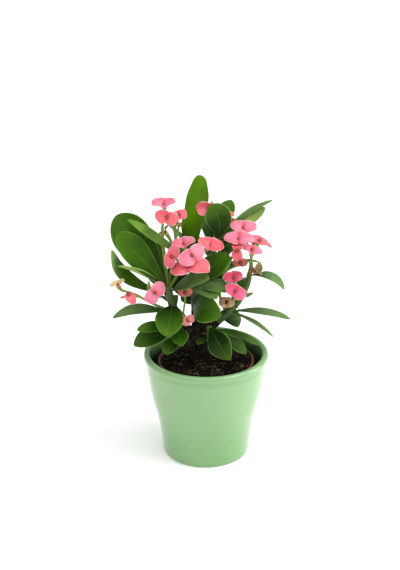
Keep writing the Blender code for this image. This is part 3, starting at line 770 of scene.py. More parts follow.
# %% Tables of the stems
BRANCHES = {
    "left": (((-9, 1, 126), (-21, -3, 144), (-28, -6, 156)), (6.5, 5.6, 4.9)),
    "mid": (((-9, 2, 130), (-10, 5, 147), (-11, 7, 160)), (6.0, 5.2, 4.6)),
    "tall": (((-6, 4, 128), (-1, 9, 146), (1, 11, 160)), (6.0, 5.2, 4.6)),
    "right": (((-6, 0, 126), (4, -1, 143), (12, -2, 152)), (6.5, 5.6, 5.0)),
    "back": (((-7, 5, 122), (-3, 19, 141), (2, 28, 156)), (6.5, 5.4, 4.6)),
    "low_left": (((-10, -1, 116), (-18, -7, 127), (-24, -11, 135)), (5.5, 4.4, 3.8)),
    "low_right": (((-6, -3, 114), (0, -9, 125), (3, -12, 133)), (5.5, 4.4, 3.8)),
}
# The green shoot's further points, its radii, and how far round the stem its first thorn stands, in degrees
SHOOTS = {
    "left": (((-35, -6, 172), (-39, -5, 192)), (4.9, 4.2, 3.3), 0),
    "mid": (((-12, 8, 188), (-11, 9, 222)), (4.6, 3.8, 2.9), 0),
    "tall": (((4, 12, 198), (10, 12, 236)), (4.6, 3.8, 2.9), 0),
    "right": (((23, -2, 162), (34, 0, 174), (42, 1, 190), (45, 1, 204)), (5.0, 4.5, 3.8, 3.2, 2.7), 0),
    "back": (((8, 34, 176), (12, 38, 194)), (4.6, 4.0, 3.2), 0),
    "low_left": (((-28, -12, 142), (-30, -11, 149)), (3.8, 3.4, 2.8), 150),
    "low_right": (((4, -13, 142), (3, -12, 150)), (3.8, 3.4, 2.8), 150),
}
Stalk = namedtuple("Stalk", "shoot at points radius")
STALKS = {
    "a": Stalk("left", 0.97, ((-43, -3, 226), (-44, -1, 254)), 2.1),
    "b": Stalk("left", 0.93, ((-34, 2, 222), (-28, 5, 250)), 1.5),
    "c": Stalk("tall", 0.98, ((9, 12, 248), (9, 13, 258)), 1.5),
    "d": Stalk("left", 0.88, ((-30, -13, 205), (-21, -19, 222)), 1.8),
    "e": Stalk("right", 0.97, ((46, 1, 210), (46, 1, 218)), 2.5),
    "f": Stalk("right", 0.20, ((14, 1, 186), (26, -2, 222)), 1.7),
    "g": Stalk("right", 0.45, ((36, -7, 180), (33, -10, 190)), 1.6),
    "h": Stalk("left", 0.20, ((-54, -15, 176), (-72, -20, 189)), 1.5),
    "i": Stalk("low_left", 0.97, ((-24, -18, 165), (-22, -20, 176)), 1.2),
    "j": Stalk("back", 0.97, ((14, 46, 212), (15, 50, 224)), 1.7),
}
TRUNK_LINE = ((-8, 2, 68), (-8, 2, 108), (-8, 1, 124), (-7, 2, 138))
TRUNK_RADII = (9, 9, 8.4, 7.0)
print("stems:", len(BRANCHES), "branches,", len(SHOOTS), "shoots,", len(STALKS), "flower stalks")

# %% Middle lines
LINE_STEPS = 9  # steps to each stretch of a stem: three times the solids' own
SOLID_STEPS = 3
GAP = 0.3 * MM
HANDLE = 0.38  # how far a curve's ends pull on it, over the distance between them


def in_metres(points):
    return [Vector(point) * MM for point in points]


def along(line, share):
    """The point at that share of the line's points, and the direction there."""
    place = share * (len(line) - 1)
    step = min(int(place), len(line) - 2)
    start, end = line[step], line[step + 1]
    return start.lerp(end, place - step), (end - start).normalized()


def spread(values, count):
    """The values at so many even steps, on straight lines between those given."""
    found = []
    for step in range(count):
        place = step / (count - 1) * (len(values) - 1)
        low = min(int(place), len(values) - 2)
        found.append(values[low] + (values[low + 1] - values[low]) * (place - low))
    return found


def widths_along(radii, line):
    return [radius * MM for radius in spread(radii, len(line))]


def stem_lines(name, steps):
    """The middle lines of a woody branch and of the green shoot that goes on from it."""
    branch = in_metres(BRANCHES[name][0])
    line = smooth_line(branch + in_metres(SHOOTS[name][0]), steps)
    joint = steps * (len(branch) - 1)
    return line[: joint + 1], line[joint:]


def solid_shoot_line(name):
    """The shoot's line in the solid's own few steps, which its leaves, thorns and stalks are placed by."""
    line = stem_lines(name, SOLID_STEPS)[1]
    heading = (line[1] - line[0]).normalized()
    return [line[0] + heading * GAP] + line[1:]


def curved(start, heading, end, arrival, steps):
    """A line that leaves start along heading and reaches end along arrival (a cubic Bezier)."""
    reach = (end - start).length * HANDLE
    leave, arrive = start + heading * reach, end - arrival * reach
    line = []
    for step in range(steps + 1):
        t = step / steps
        s = 1 - t
        line.append(start * s**3 + leave * (3 * s * s * t) + arrive * (3 * s * t * t) + end * t**3)
    return line


print("a shoot's line has", len(stem_lines("left", LINE_STEPS)[1]), "points")

# %% [markdown]
# One tree turns any set of paths into stems. A path is a chain of edges whose points carry a radius. The
# tree sweeps a circle along each, caps the ends and pushes the skin in and out by noise, stretched along
# the stem as bark is.

# %% A machine that makes stems
GRAIN_STRETCH = (1.0, 1.0, 0.35)  # noise is drawn out along the upright axis


def stems_machine():
    tree, put = new_machine(
        "stems_from_paths", Paths="Geometry", Sides="Int", Roughness="Float", Grain="Float", Finish="Material"
    )
    curves = node(tree, "GeometryNodeMeshToCurve", put["Paths"])
    circle = node(tree, "GeometryNodeCurvePrimitiveCircle", put["Sides"], named={"Radius": 1.0})
    tubes = node(tree, "GeometryNodeCurveToMesh", curves, circle, number(tree, "radius"), True)
    push = (noise_at(position(tree) * GRAIN_STRETCH, put["Grain"], 3.0) - 0.5) * put["Roughness"]
    return close_machine(tree, moved(tubes, offset=outward(tree) * push), put["Finish"])


def paths_object(name, paths):
    """A mesh of chains, one for each path of points, their radii in metres and its tones from 0 to 1."""
    points, edges, radii, tones = [], [], [], []
    for line, widths, tone in paths:
        edges += [(len(points) + step, len(points) + step + 1) for step in range(len(line) - 1)]
        points += line
        radii += widths
        tones += spread(tone, len(line))
    mesh = bpy.data.meshes.new(name)
    mesh.from_pydata(points, edges, [])
    for label, values in (("radius", radii), ("tone", tones)):
        mesh.attributes.new(label, "FLOAT", "POINT").data.foreach_set("value", values)
    return new_object(name, mesh)


STEMS = stems_machine()
print("machine:", STEMS.name)

# %% [markdown]
# Old stems of this plant are grey-brown and cracked lengthways, with pale scars where leaves fell. The
# colour goes from dark in the cracks to grey on the ridges, from the same stretched noise that lifts the
# surface.

# %% Woody trunk and branches
BARK_DARK = colour(14, 12, 9)
BARK_GREY = colour(52, 48, 36)
BARK_SCAR = colour(84, 76, 60)
TRUNK_SIDES = 40
BARK_DEPTH = 1.6 * MM
BARK_CRACKS_PER_METRE = 240.0

bark, tree, shader = new_finish("bark", Roughness=0.9, Specular_IOR_Level=0.15)
place = object_place(tree)
ridges = noise_at(place * (1.0, 1.0, 0.3), 420.0, 4.0)
scars = ramp(noise_at(place, 150.0), 0.62, 0.68)
tone = layered(BARK_DARK, (ramp(ridges, 0.35, 0.65), BARK_GREY), (scars * 0.3, BARK_SCAR))
paint(shader, tone, ridges, 0.0012)

trunk_line = smooth_line(in_metres(TRUNK_LINE), LINE_STEPS)
paths = [(trunk_line, widths_along(TRUNK_RADII, trunk_line), (0, 0))]
for name, (_, radii) in BRANCHES.items():
    line = stem_lines(name, LINE_STEPS)[0]
    paths.append((line, widths_along(radii, line), (0, 0)))
woody_stem = paths_object("woody_stem", paths)
bark_sizes = {"Sides": TRUNK_SIDES, "Roughness": BARK_DEPTH, "Grain": BARK_CRACKS_PER_METRE}
run_machine(woody_stem, STEMS, **bark_sizes, Finish=bark)
keep(woody_stem, "bark", "woody_trunk")

# %% [markdown]
# Thorns are modified stipules: slim, straight, grey spikes that wind up the stem at the golden angle. A
# machine puts a slightly bent cone on each of a set of points, turned along the point's aim and scaled by
# its length. The places follow the solids' own rule, and beside each stand two shorter thorns.

# %% A machine that sets thorns
SPIKE = (6, 5, 1, 0.06, 1.0, 1.0)  # sides, rows, rings in the foot, radii at the tip and the foot, length
SPIKE_BEND = 0.6


def thorns_machine():
    tree, put = new_machine("thorns_on_points", Points="Geometry", Width="Float", Finish="Material")
    height = parts(position(tree))[2]
    spike = node(tree, "GeometryNodeMeshCone", *SPIKE)
    spike = moved(spike, offset=vector_of(height * height * SPIKE_BEND, 0.0, 0.0))
    aim = vector(tree, "aim")
    turn = node(tree, "FunctionNodeAlignRotationToVector", None, 1.0, aim, axis="Z")
    scale = vector_of(put["Width"], put["Width"], vectors("LENGTH", aim))
    return close_machine(tree, copies(put["Points"], spike, turn, scale), put["Finish"])


def points_object(name, rows):
    """One loose point for each row, a dict of numbers and vectors that become the point's attributes."""
    mesh = bpy.data.meshes.new(name)
    mesh.from_pydata([row.get("place", (0, 0, 0)) for row in rows], [], [])
    for label, value in rows[0].items():
        kind, field = ("FLOAT", "value") if isinstance(value, (int, float)) else ("FLOAT_VECTOR", "vector")
        values = [row[label] for row in rows]
        flat = values if field == "value" else [part for value in values for part in value]
        mesh.attributes.new(label, kind, "POINT").data.foreach_set(field, flat)
    return new_object(name, mesh)


THORNS = thorns_machine()
print("machine:", THORNS.name)

# %% Thorns of the woody stems
THORN_LENGTH = 8 * MM
THORN_SPACING = 9 * MM
THORN_RADIUS = 0.75 * MM
THORNS_FROM, THORNS_TO = 0.45, 0.92  # the shares of a woody stem's length between which thorns stand
THORN_DEPTH = 0.6  # how far from the middle line a thorn is rooted, over the stem's radius
THORN_RISE = 0.25  # how far a thorn leans up the stem, over its length
THORN_PLAY = (0.7, 1.1)
SHORT_THORN = 0.4  # a shorter thorn's length over its neighbour's
SHORT_THORN_STEP = 1.3 * MM
SHORT_THORN_RISE = 0.2
GOLDEN_ANGLE = math.radians(137.5)


def thorn_rows(name, line, radii, first, turn):
    """The root and the aim of each thorn on a stem, by the solids' rule, and of those beside it."""
    chance = random.Random(name)
    rows = []
    count = int(sum((b - a).length for a, b in zip(line, line[1:])) / THORN_SPACING)
    for thorn in range(count):
        share = first + (THORNS_TO - first) * (thorn + 0.5) / count
        point, heading = along(line, share)
        radius = spread(radii, len(line))[round(share * (len(line) - 1))] * MM
        out = heading.orthogonal().normalized()
        out.rotate(Matrix.Rotation(GOLDEN_ANGLE * thorn + turn + chance.uniform(0, 0.6), 3, heading))
        long = THORN_LENGTH * chance.uniform(*THORN_PLAY)
        root = point + out * (THORN_DEPTH * radius)
        tip = point + out * (radius + long) + heading * (THORN_RISE * long)
        rows.append({"place": root, "aim": tip - root})
        for extra in (1, 2):
            out.rotate(Matrix.Rotation(GOLDEN_ANGLE * 0.5, 3, heading))
            root = point + out * (THORN_DEPTH * radius) + heading * (SHORT_THORN_STEP * extra)
            reach = (1 - THORN_DEPTH) * radius + SHORT_THORN * long
            aim = out * reach + heading * (SHORT_THORN_RISE * long)
            rows.append({"place": root, "aim": aim})
    return rows


def set_thorns(name, rows, radius, slot):
    thorns = points_object(name, rows)
    keep(run_machine(thorns, THORNS, Width=radius, Finish=thorn_finish), slot)


thorn_finish = dull_finish("thorn", (96, 84, 70), (150, 136, 116), 300)
rows = []
for name, (_, radii) in BRANCHES.items():
    rows += thorn_rows(name, stem_lines(name, SOLID_STEPS)[0], radii, THORNS_FROM, 0)
set_thorns("woody_thorns", rows, THORN_RADIUS, "bark")

# %% [markdown]
# The green shoots, the flower stalks and the thin stalks of single flowers are stems too, so the same
# machine makes them. Where a stem is young its skin is smooth, so the noise is weak. Buds are stalks that
# swell at their end.

# %% Tables of blooms and buds
Bloom = namedtuple("Bloom", "stalk at centre face spin span lift look", defaults=("pink",))
BLOOMS = {
    "a1": Bloom("a", 1.0, (-42, 0, 276), (-1, -3, 6), 0, 26, 14, "rose"),
    "a2": Bloom("a", 0.9, (-39, -14, 269), (1, -5, 1), -15, 25, 0, "coral"),
    "a3": Bloom("b", 1.0, (-28, 0, 266), (2, -4, 2), 20, 18, 10),
    "a4": Bloom("b", 0.7, (-31, 11, 253), (1, 3, 2), 60, 16, 10, "dull"),
    "a5": Bloom("b", 0.4, (-41, 9, 244), (-2, 1, 2), 0, 17, 20, "faded"),
    "b1": Bloom("c", 0.8, (3, 11, 269), (0, -5, 1), -12, 26, 5, "coral"),
    "b2": Bloom("c", 1.0, (21, 20, 260), (2, -2, 4), 15, 17, 5, "coral"),
    "c1": Bloom("d", 0.8, (-22, -10, 238), (-1, -3, 6), 8, 25, 12, "rose"),
    "c2": Bloom("d", 0.7, (-33, -30, 233), (-2, -5, 3), 62, 24, 5),
    "c3": Bloom("d", 1.0, (-14, -34, 236), (1, -5, 3), 35, 29, 5, "rose"),
    "c4": Bloom("d", 0.9, (-16, -38, 225), (0, -3, 5), 0, 40, -14, "coral"),
    "c5": Bloom("d", 1.0, (4, -16, 239), (1, -2, 3), -5, 28, 12, "coral"),
    "d1": Bloom("e", 1.0, (38, 9, 249), (0, -3, 4), -5, 28, 8, "rose"),
    "d2": Bloom("f", 1.0, (33, -10, 243), (0, -2, 4), -5, 31, 0, "rose"),
    "d3": Bloom("f", 0.9, (31, -21, 236), (0, -4, 3), 88, 21, -38, "coral"),
    "d4": Bloom("e", 0.9, (46, -8, 231), (1, -2, 4), -10, 22, 5, "rose"),
    "d5": Bloom("e", 0.9, (54, 6, 236), (2, -3, 5), -14, 19, 0),
    "d6": Bloom("e", 0.8, (51, 19, 226), (1, 1, 5), 5, 34, 5, "rose"),
    "d7": Bloom("f", 0.75, (35, 2, 214), (0, -4, 3), 0, 16, 15, "dull"),
    "d8": Bloom("e", 0.2, (48, -4, 208), (5, -2, 2), 90, 22, 48, "faded"),
    "e1": Bloom("g", 0.9, (28, -13, 203), (-1, -3, 3), 0, 22, 15, "magenta"),
    "e2": Bloom("g", 1.0, (29, -23, 193), (1, -4, 2), -30, 24, 10, "magenta"),
    "e3": Bloom("g", 0.6, (22, -20, 179), (-2, -3, 3), -20, 20, 15, "dry"),
    "f1": Bloom("h", 0.6, (-51, -30, 195), (0, -4, 1), 50, 26, 5, "rose"),
    "f2": Bloom("h", 0.85, (-78, -33, 193), (0, -1, 3), -45, 22, -48, "coral"),
    "f3": Bloom("h", 1.0, (-88, -26, 200), (-1, -1, 3), 20, 18, 30, "dry"),
    "g1": Bloom("i", 1.0, (-21, -19, 190), (0, -4, 3), 0, 16, 20, "dull"),
    "g2": Bloom("i", 0.6, (-19, -28, 163), (1, -3, 2), 40, 16, 20, "dull"),
    "h1": Bloom("j", 1.0, (18, 52, 240), (0, 1, 4), 20, 27, 8, "rose"),
    "h2": Bloom("j", 0.9, (0, 60, 232), (-2, 3, 3), 0, 26, 8),
    "h3": Bloom("j", 0.9, (34, 62, 230), (2, 3, 3), 0, 26, 8),
    "h4": Bloom("j", 0.8, (16, 72, 222), (0, 4, 3), 80, 25, 5),
}
# A bud: its stalk, where it forks off, and its place
BUDS = [
    ("c", 0.7, (6, 19, 275)),
    ("c", 0.9, (16, 19, 272)),
    ("h", 0.5, (-58, -22, 204)),
    ("j", 1.0, (22, 44, 242)),
]
print("blooms:", len(BLOOMS), "buds:", len(BUDS))

# %% Green stem finish
# Painted along each stem is a tone from 0, old and dark, to 1, young and pale
STEM_DARK = colour(20, 42, 3)
STEM_GREEN = colour(52, 84, 12)
STEM_YOUNG = colour(146, 176, 64)
STEM_PORE = colour(170, 176, 120)

green, tree, shader = new_finish("green_stem", Roughness=0.45)
place = object_place(tree)
tone = layered(
    STEM_DARK,
    (clouds(tree, 140.0), STEM_GREEN),
    (painted_number(tree, "tone") * 0.85, STEM_YOUNG),
    (ramp(noise_at(place, 700.0), 0.66, 0.72) * 0.4, STEM_PORE),
)
paint(shader, tone, noise_at(place, 500.0), 0.0004)
print("finish:", green.name)

# %% Green shoots with their flower stalks
SHOOT_SIDES = 24
SHOOT_THORNS_FROM = 0.1  # the share of a shoot's length at which its thorns start
STALK_STEPS = 9
BUD_STEPS = 14
BUD_RADIUS = 1.9
PEDICEL_RADIUS = 0.9
PEDICEL_RADII = (1.0, 1.0, 1.1, 1.5, 2.3)
BUD_RADII = (0.8, 0.7, 0.7, 0.75, 0.8, 1.2, BUD_RADIUS, BUD_RADIUS * 0.95, 0.6)
CUP_BELOW = 1.1 * MM
SHOOT_TONES, STALK_TONES, PEDICEL_TONES = (0.0, 0.2), (0.3, 0.9), (0.5, 1.0)


def stalk_paths(name):
    """The paths of one flower stalk and of the thin stalks and buds that fork off it."""
    stalk = STALKS[name]
    points = [along(solid_shoot_line(stalk.shoot), stalk.at)[0], *in_metres(stalk.points)]
    line, coarse = smooth_line(points, STALK_STEPS), smooth_line(points, SOLID_STEPS)
    paths = [(line, widths_along((stalk.radius, stalk.radius * 0.8), line), STALK_TONES)]

    def fork_off(at, end, arrival, radii, steps):
        fork, heading = along(coarse, at)
        arrival = arrival or (end - fork).normalized()
        route = curved(fork - heading * PEDICEL_RADIUS * MM, heading, end, arrival, steps)
        paths.append((route, widths_along(radii, route), PEDICEL_TONES))

    for bloom in BLOOMS.values():
        if bloom.stalk == name:
            face = Vector(bloom.face).normalized()
            fork_off(bloom.at, Vector(bloom.centre) * MM - face * CUP_BELOW, face, PEDICEL_RADII, STALK_STEPS)
    for owner, at, place in BUDS:
        if owner == name:
            fork_off(at, Vector(place) * MM, None, BUD_RADII, BUD_STEPS)
    return paths


for name, (_, radii, turn) in SHOOTS.items():
    line = stem_lines(name, LINE_STEPS)[1]
    paths = [(line, widths_along(radii, line), SHOOT_TONES)]
    for stalk_name, stalk in STALKS.items():
        if stalk.shoot == name:
            paths += stalk_paths(stalk_name)
    piece = paths_object(f"shoot_{name}_stems", paths)
    run_machine(piece, STEMS, Sides=SHOOT_SIDES, Roughness=0.5 * MM, Grain=300.0, Finish=green)
    keep(piece, "leaf_green")
    rows = thorn_rows(name, solid_shoot_line(name), radii, SHOOT_THORNS_FROM, math.radians(turn))
    set_thorns(f"shoot_{name}_thorns", rows, THORN_RADIUS * 0.8, "leaf_green")

# %% [markdown]
# A leaf or a bract is a flattened tube. The first part of the tree starts from a plain cylinder and gives
# each of its points three numbers: u runs from the blade's root to its tip, v from edge to edge, and side
# says upper or lower face. One cylinder is put on each point of the table.


# %% A flattened tube for each blade
def blade_tubes(tree, put):
    tube = node(
        tree, "GeometryNodeMeshCylinder", put["Around"], put["Rows"], 1, 1.0, 1.0, fill_type="TRIANGLE_FAN"
    )
    x, y, z = parts(position(tree))
    for name, value in (
        ("u", 1 - maths("MAXIMUM", 0.5 - z, 0.0) ** 1.8),
        ("v", 0 - maths("SIGN", x) * abs(x) ** 1.5),
        ("side", maths("SIGN", y) * abs(y) ** 0.6),
    ):
        tube = node(tree, "GeometryNodeStoreNamedAttribute", tube, None, name, value, data_type="FLOAT")
    return real(copies(put["Points"], tube))


print("tubes ready")

# %% [markdown]
# Then every point of a tube is moved to its place on the blade: along a curve from base to tip, out by v
# times half the width there, up by the fold, the ripple and the thickness. The curve is a parabola that
# bends toward a middle point (a quadratic Bezier), because its direction is then a plain sum as well.

# %% A machine that makes blades
ROUNDED_FOLD = 0.55  # the share of a fold that bends evenly, as the rest breaks at the midrib
RIB_SHARPNESS = 5.5
RIB_TAPER = 0.75
RIB_ABOVE = 0.3  # the share of the rib's depth that also dents the upper face
EDGE_WAVES = (8, 1.7, 0.35)  # along the blade, across it, and how strong they are against the ripple


def blade_curve(tree, u):
    """The place on the blade's middle line, the way across it and the way up from it."""
    base, middle, tip = (vector(tree, name) for name in ("base", "middle", "tip"))
    facing = vector(tree, "facing")
    rest = 1 - u
    spine = base * (rest * rest) + middle * (rest * u * 2) + tip * (u * u)
    heading = vectors("NORMALIZE", (middle - base) * rest + (tip - middle) * u)
    up = vectors("NORMALIZE", facing - heading * vectors("DOT_PRODUCT", facing, heading))
    return spine, vectors("CROSS_PRODUCT", heading, up), up


def half_width(tree, u, v):
    """Half the blade's width there: widest where the power says, blunter as blunt is smaller."""
    power = number(tree, "power") * (1 + v * number(tree, "lean"))
    swell = maths("MAXIMUM", maths("SINE", u**power * math.pi), 0.0) ** number(tree, "blunt")
    along_it, across_it, strength = EDGE_WAVES
    wave = maths("SINE", u * along_it + number(tree, "phase") + v * across_it)
    uneven = 1 + wave * number(tree, "wave") * strength
    return maths("MAXIMUM", swell * uneven, number(tree, "root") * (1 - u)) * number(tree, "half")


def blades_machine():
    tree, put = new_machine(
        "blades_on_points",
        Points="Geometry",
        Around="Int",
        Rows="Int",
        Thickness="Float",
        Rib="Float",
        Finish="Material",
    )
    u, v, side = (number(tree, name) for name in ("u", "v", "side"))
    spine, sideways, up = blade_curve(tree, u)
    half = half_width(tree, u, v)
    turns = u * number(tree, "waves") * math.tau + number(tree, "phase")
    ripple = maths("SINE", turns + v * 1.4) * v * v * number(tree, "wave")
    lift = (abs(v) * (1 - ROUNDED_FOLD) + v * v * ROUNDED_FOLD) * number(tree, "fold") + ripple
    rib = maths("MAXIMUM", 1 - abs(v) * RIB_SHARPNESS, 0.0) * (1 - u * RIB_TAPER) * put["Rib"]
    thick = side * put["Thickness"] - rib * (RIB_ABOVE + fall(side, -0.01, 0.01) * (1 - RIB_ABOVE))
    spot = spine + sideways * (v * half) + up * (lift * half + thick)
    return close_machine(tree, moved(blade_tubes(tree, put), spot), put["Finish"])


BLADES = blades_machine()
print("machine:", BLADES.name)

# %% [markdown]
# A blade's outline needs only a few numbers: how far up it is widest, how blunt it is, how wide its root
# is, how high and how many its waves are, and how far it leans to one edge. Each leaf then has its place up
# the shoot, its tip, the way its upper side looks, its width, a look, which says how light its green is,
# partly its own green and partly painted light and shade for how the leaf stands in the light, its arch,
# its fold, its outline and its bend to the side.

# %% Outlines of blades
Outline = namedtuple("Outline", "widest blunt root wave waves lean", defaults=(0.0,))
SPOON = Outline(0.66, 0.66, 0.10, 0.05, 1.6)
ROUND = Outline(0.58, 0.56, 0.10, 0.05, 1.4)
FAN = Outline(0.70, 0.56, 0.10, 0.06, 1.5)
TALL = Outline(0.62, 0.36, 0.30, 0.10, 3.2, 0.5)
POINTED = Outline(0.60, 0.85, 0.10, 0.05, 1.5)
BRACT = Outline(0.50, 0.48, 0.0, 0.16, 1.1)

print("outlines ready")

# %% Table of leaves
LEAF_DEFAULTS = ("mid", 0.0, 0.15, SPOON, 0.0)  # look, arch, fold, outline and side
Leaf = namedtuple("Leaf", "at tip face width look arch fold outline side", defaults=LEAF_DEFAULTS)
LEAVES = {
    "left": [
        Leaf(0.98, (-91, 12, 262), (1, -6, 2), 40, "mid", 0.06, 0.15, FAN),
        Leaf(0.90, (-88, -14, 252), (1, -5, 2), 27, "mid", 0.05, 0.15, FAN),
        Leaf(0.95, (-62, 24, 240), (1, -3, 1), 22, "mid", 0.04),
        Leaf(0.75, (-93, -34, 241), (2, -3, 3), 18, "bright", -0.26, 0.2),
        Leaf(0.85, (-88, -22, 220), (1, 3, 4), 16, "pale", 0.05, 0.3),
        Leaf(0.10, (-95, -22, 163), (0, -1, 9), 21, "grey", 0.10, 0.35),
        Leaf(0.45, (-39, -50, 155), (0, -1, 1), 29, "mid", 0.10, 0.12, ROUND),
        Leaf(0.80, (3, -46, 216), (1, -3, 4), 25, "grey", 0.08, 0.12),
        Leaf(0.60, (-60, 6, 215), (1, -3, 1), 17, "deep", 0.05),
        Leaf(0.40, (-62, 38, 190), (0, 1, 4), 22, "mid", 0.10),
        Leaf(0.20, (-50, 44, 158), (0, 1, 2), 24, "mid", 0.15),
    ],
    "mid": [
        Leaf(0.92, (-5, 32, 298), (-2, -5, 1), 26, "bright", -0.04, 0.12, TALL, -0.06),
        Leaf(0.60, (24, -8, 226), (-1, -6, 3), 24, "mid", 0.05, 0.1, ROUND),
        Leaf(0.40, (23, -24, 193), (0, -2, 4), 20, "grey", 0.16, 0.2),
        Leaf(0.20, (15, -44, 176), (-1, -6, 2), 30, "mid", 0.12, 0.12, ROUND),
        Leaf(0.45, (11, -30, 188), (0, -2, 3), 20, "grey", 0.14, 0.15, ROUND),
        Leaf(0.80, (-46, 44, 246), (1, 2, 4), 24, "mid", 0.08),
        Leaf(0.55, (-26, 50, 215), (0, 1, 4), 22, "mid", 0.10),
        Leaf(0.85, (-77, -24, 270), (2, -4, 4), 11, "light", 0.0, 0.2),
        Leaf(0.15, (-38, 25, 202), (0, -5, 1), 22, "dark", 0.0, 0.12, ROUND),
    ],
    "tall": [
        Leaf(0.98, (5, -2, 278), (1, -5, 1), 27, "deep", 0.08, 0.1, FAN, 0.12),
        Leaf(1.00, (26, 44, 268), (-1, -3, 2), 19, "mid", 0.06),
        Leaf(0.95, (68, 30, 272), (-1, 3, 4), 19, "grey", 0.04, 0.25),
        Leaf(0.90, (61, 34, 263), (-1, -3, 3), 18, "pale", 0.05),
        Leaf(0.85, (25, 14, 252), (-1, -4, 1), 20, "mid", -0.05, 0.12, ROUND),
        Leaf(0.35, (17, 4, 208), (0, -3, 1), 20, "mid", 0.04),
        Leaf(0.75, (-4, 52, 262), (0, 1, 4), 22, "mid", 0.10),
        Leaf(0.60, (50, 50, 222), (0, 1, 4), 22, "mid", 0.10),
    ],
    "right": [
        Leaf(0.06, (37, 14, 146), (0, -3, 2), 19, "deep", 0.05, 0.12),
        Leaf(0.94, (81, 2, 185), (0, -1, 4), 18, "grey", 0.20),
        Leaf(0.25, (88, 0, 152), (0, -1, 5), 14, "grey", 0.06, 0.3),
        Leaf(0.28, (69, -26, 144), (2, 0, 3), 13, "grey", 0.03, 0.3, POINTED),
        Leaf(0.49, (40, 50, 178), (0, 1, 5), 22, "mid", 0.15),
        Leaf(0.35, (44, 50, 156), (0, 1, 4), 22, "mid", 0.15),
    ],
    "back": [
        Leaf(0.95, (-20, 86, 216), (1, 1, 4), 25, "mid", 0.08),
        Leaf(0.90, (38, 88, 210), (-1, 1, 4), 25, "mid", 0.08),
        Leaf(0.75, (60, 66, 190), (0, 1, 5), 23, "mid", 0.12),
        Leaf(0.60, (14, 96, 182), (0, 1, 4), 26, "mid", 0.15),
        Leaf(0.50, (-38, 74, 180), (0, 1, 4), 24, "mid", 0.15),
        Leaf(0.35, (38, 80, 150), (0, 1, 3), 24, "mid", 0.18),
        Leaf(0.25, (-14, 84, 146), (0, 1, 3), 24, "mid", 0.18),
        Leaf(0.40, (-27, 34, 160), (0, -5, 1), 19, "dark", 0.0, 0.12, ROUND),
    ],
    "low_left": [
        Leaf(0.95, (-70, -34, 155), (0, -2, 3), 14, "mid", 0.08),
        Leaf(0.60, (-74, -30, 136), (0, -2, 3), 22, "deep", 0.12),
        Leaf(0.98, (-24, -38, 139), (0, -3, 2), 18, "mid", 0.06, 0.12, POINTED),
        Leaf(0.20, (-42, -32, 127), (0, -1, 4), 18, "deep", 0.10),
    ],
    "low_right": [
        Leaf(0.95, (25, -46, 127), (-1, -4, 2), 24, "dark", 0.10, 0.2, POINTED),
        Leaf(0.40, (42, -22, 123), (0, -1, 3), 17, "deep", 0.12),
        Leaf(0.80, (57, 2, 122), (0, -1, 4), 15, "mid", 0.05),
        Leaf(0.30, (-10, -20, 133), (0, -1, 3), 8, "deep", 0.05),
    ],
}
# Each look is partly the leaf's own green and partly painted light and shade: lighter for leaves in the
# light, darker for those in shade
LEAF_GREENS_AND_LIGHT = {
    "dark": colour(10, 28, 0),
    "deep": colour(26, 58, 0),
    "mid": colour(46, 90, 0),
    "light": colour(108, 146, 56),
    "bright": colour(88, 138, 0),
    "grey": colour(96, 128, 76),
    "pale": colour(186, 214, 124),
}
print("leaves:", sum(len(leaves) for leaves in LEAVES.values()))

# %% [markdown]
# The leaf's skin is waxy and half glossy. Its green carries painted shade toward the root and painted light
# toward the tip, and painted patches of shade, of sunlight and of grey sheen; it is paler along the midrib
# and in thin slanting side veins, and yellower at the very edge, where the blade lets light through. The
# lower face is duller and greyer. Each of these is a layer with its own mask.

# %% Leaf finish
LEAF_ROOT_SHADE = colour(6, 24, 0)
LEAF_TIP_LIGHT = colour(112, 158, 34)
LEAF_SHADE = colour(14, 40, 0)
LEAF_SUN = colour(104, 148, 14)
LEAF_SHEEN = colour(110, 146, 84)
LEAF_VEIN = colour(140, 180, 80)
LEAF_RIB = colour(120, 160, 60)
LEAF_EDGE = colour(150, 186, 96)
LEAF_UNDERSIDE = colour(126, 154, 88)

leaf_green, tree, shader = new_finish("waxy_leaf", Roughness=0.34, Specular_IOR_Level=0.12)
u, v, side = (painted_number(tree, name) for name in ("u", "v", "side"))
shade = clouds(tree, 50.0)
veins = effect(tree, VEINS, Along=u, Across=v, Pairs=9.0, Slant=0.3)
below = fall(side, -0.3, 0.0)
tone = layered(
    painted_colour(tree, "tint"),
    # painted shade toward the root and painted light toward the tip
    (fall(u, 0.0, 0.75) * 0.8, LEAF_ROOT_SHADE),
    (ramp(u, 0.55, 1.0) * 0.28, LEAF_TIP_LIGHT),
    # painted patches of shade, of sunlight and of grey sheen
    (shade * 0.35, LEAF_SHADE),
    (clouds(tree, 30.0, 0.45, 0.7) * 0.16, LEAF_SUN),
    (clouds(tree, 21.0, 0.5, 0.72) * 0.12, LEAF_SHEEN),
    (veins * 0.035, LEAF_VEIN),
    (fall(abs(v), 0.01, 0.06) * (1 - u * 0.7) * 0.3, LEAF_RIB),
    (effect(tree, MARGIN, Across=v, Start=0.92) * 0.7, LEAF_EDGE),
    (below * 0.25, LEAF_UNDERSIDE),
)
grain = noise_at(object_place(tree), 500.0) * 0.4
paint(shader, tone, grain - veins * 0.5, 0.0002, roughness=0.32 + shade * 0.1 + below * 0.2)
print("finish:", leaf_green.name)

# %% [markdown]
# The leaves of one shoot are one mesh, made in one run of the machine from one row of attributes for each
# leaf. The attributes that only the machine needed are dropped, and those that the finish reads stay.

# %% Leaves
LEAF_AROUND = 24
LEAF_ROWS = 30
LEAF_THICKNESS = 0.42 * MM
LEAF_RIB_DEPTH = 0.7 * MM
TINT_PLAY = 0.12
BLADE_PAINT = ("u", "v", "side", "tint")


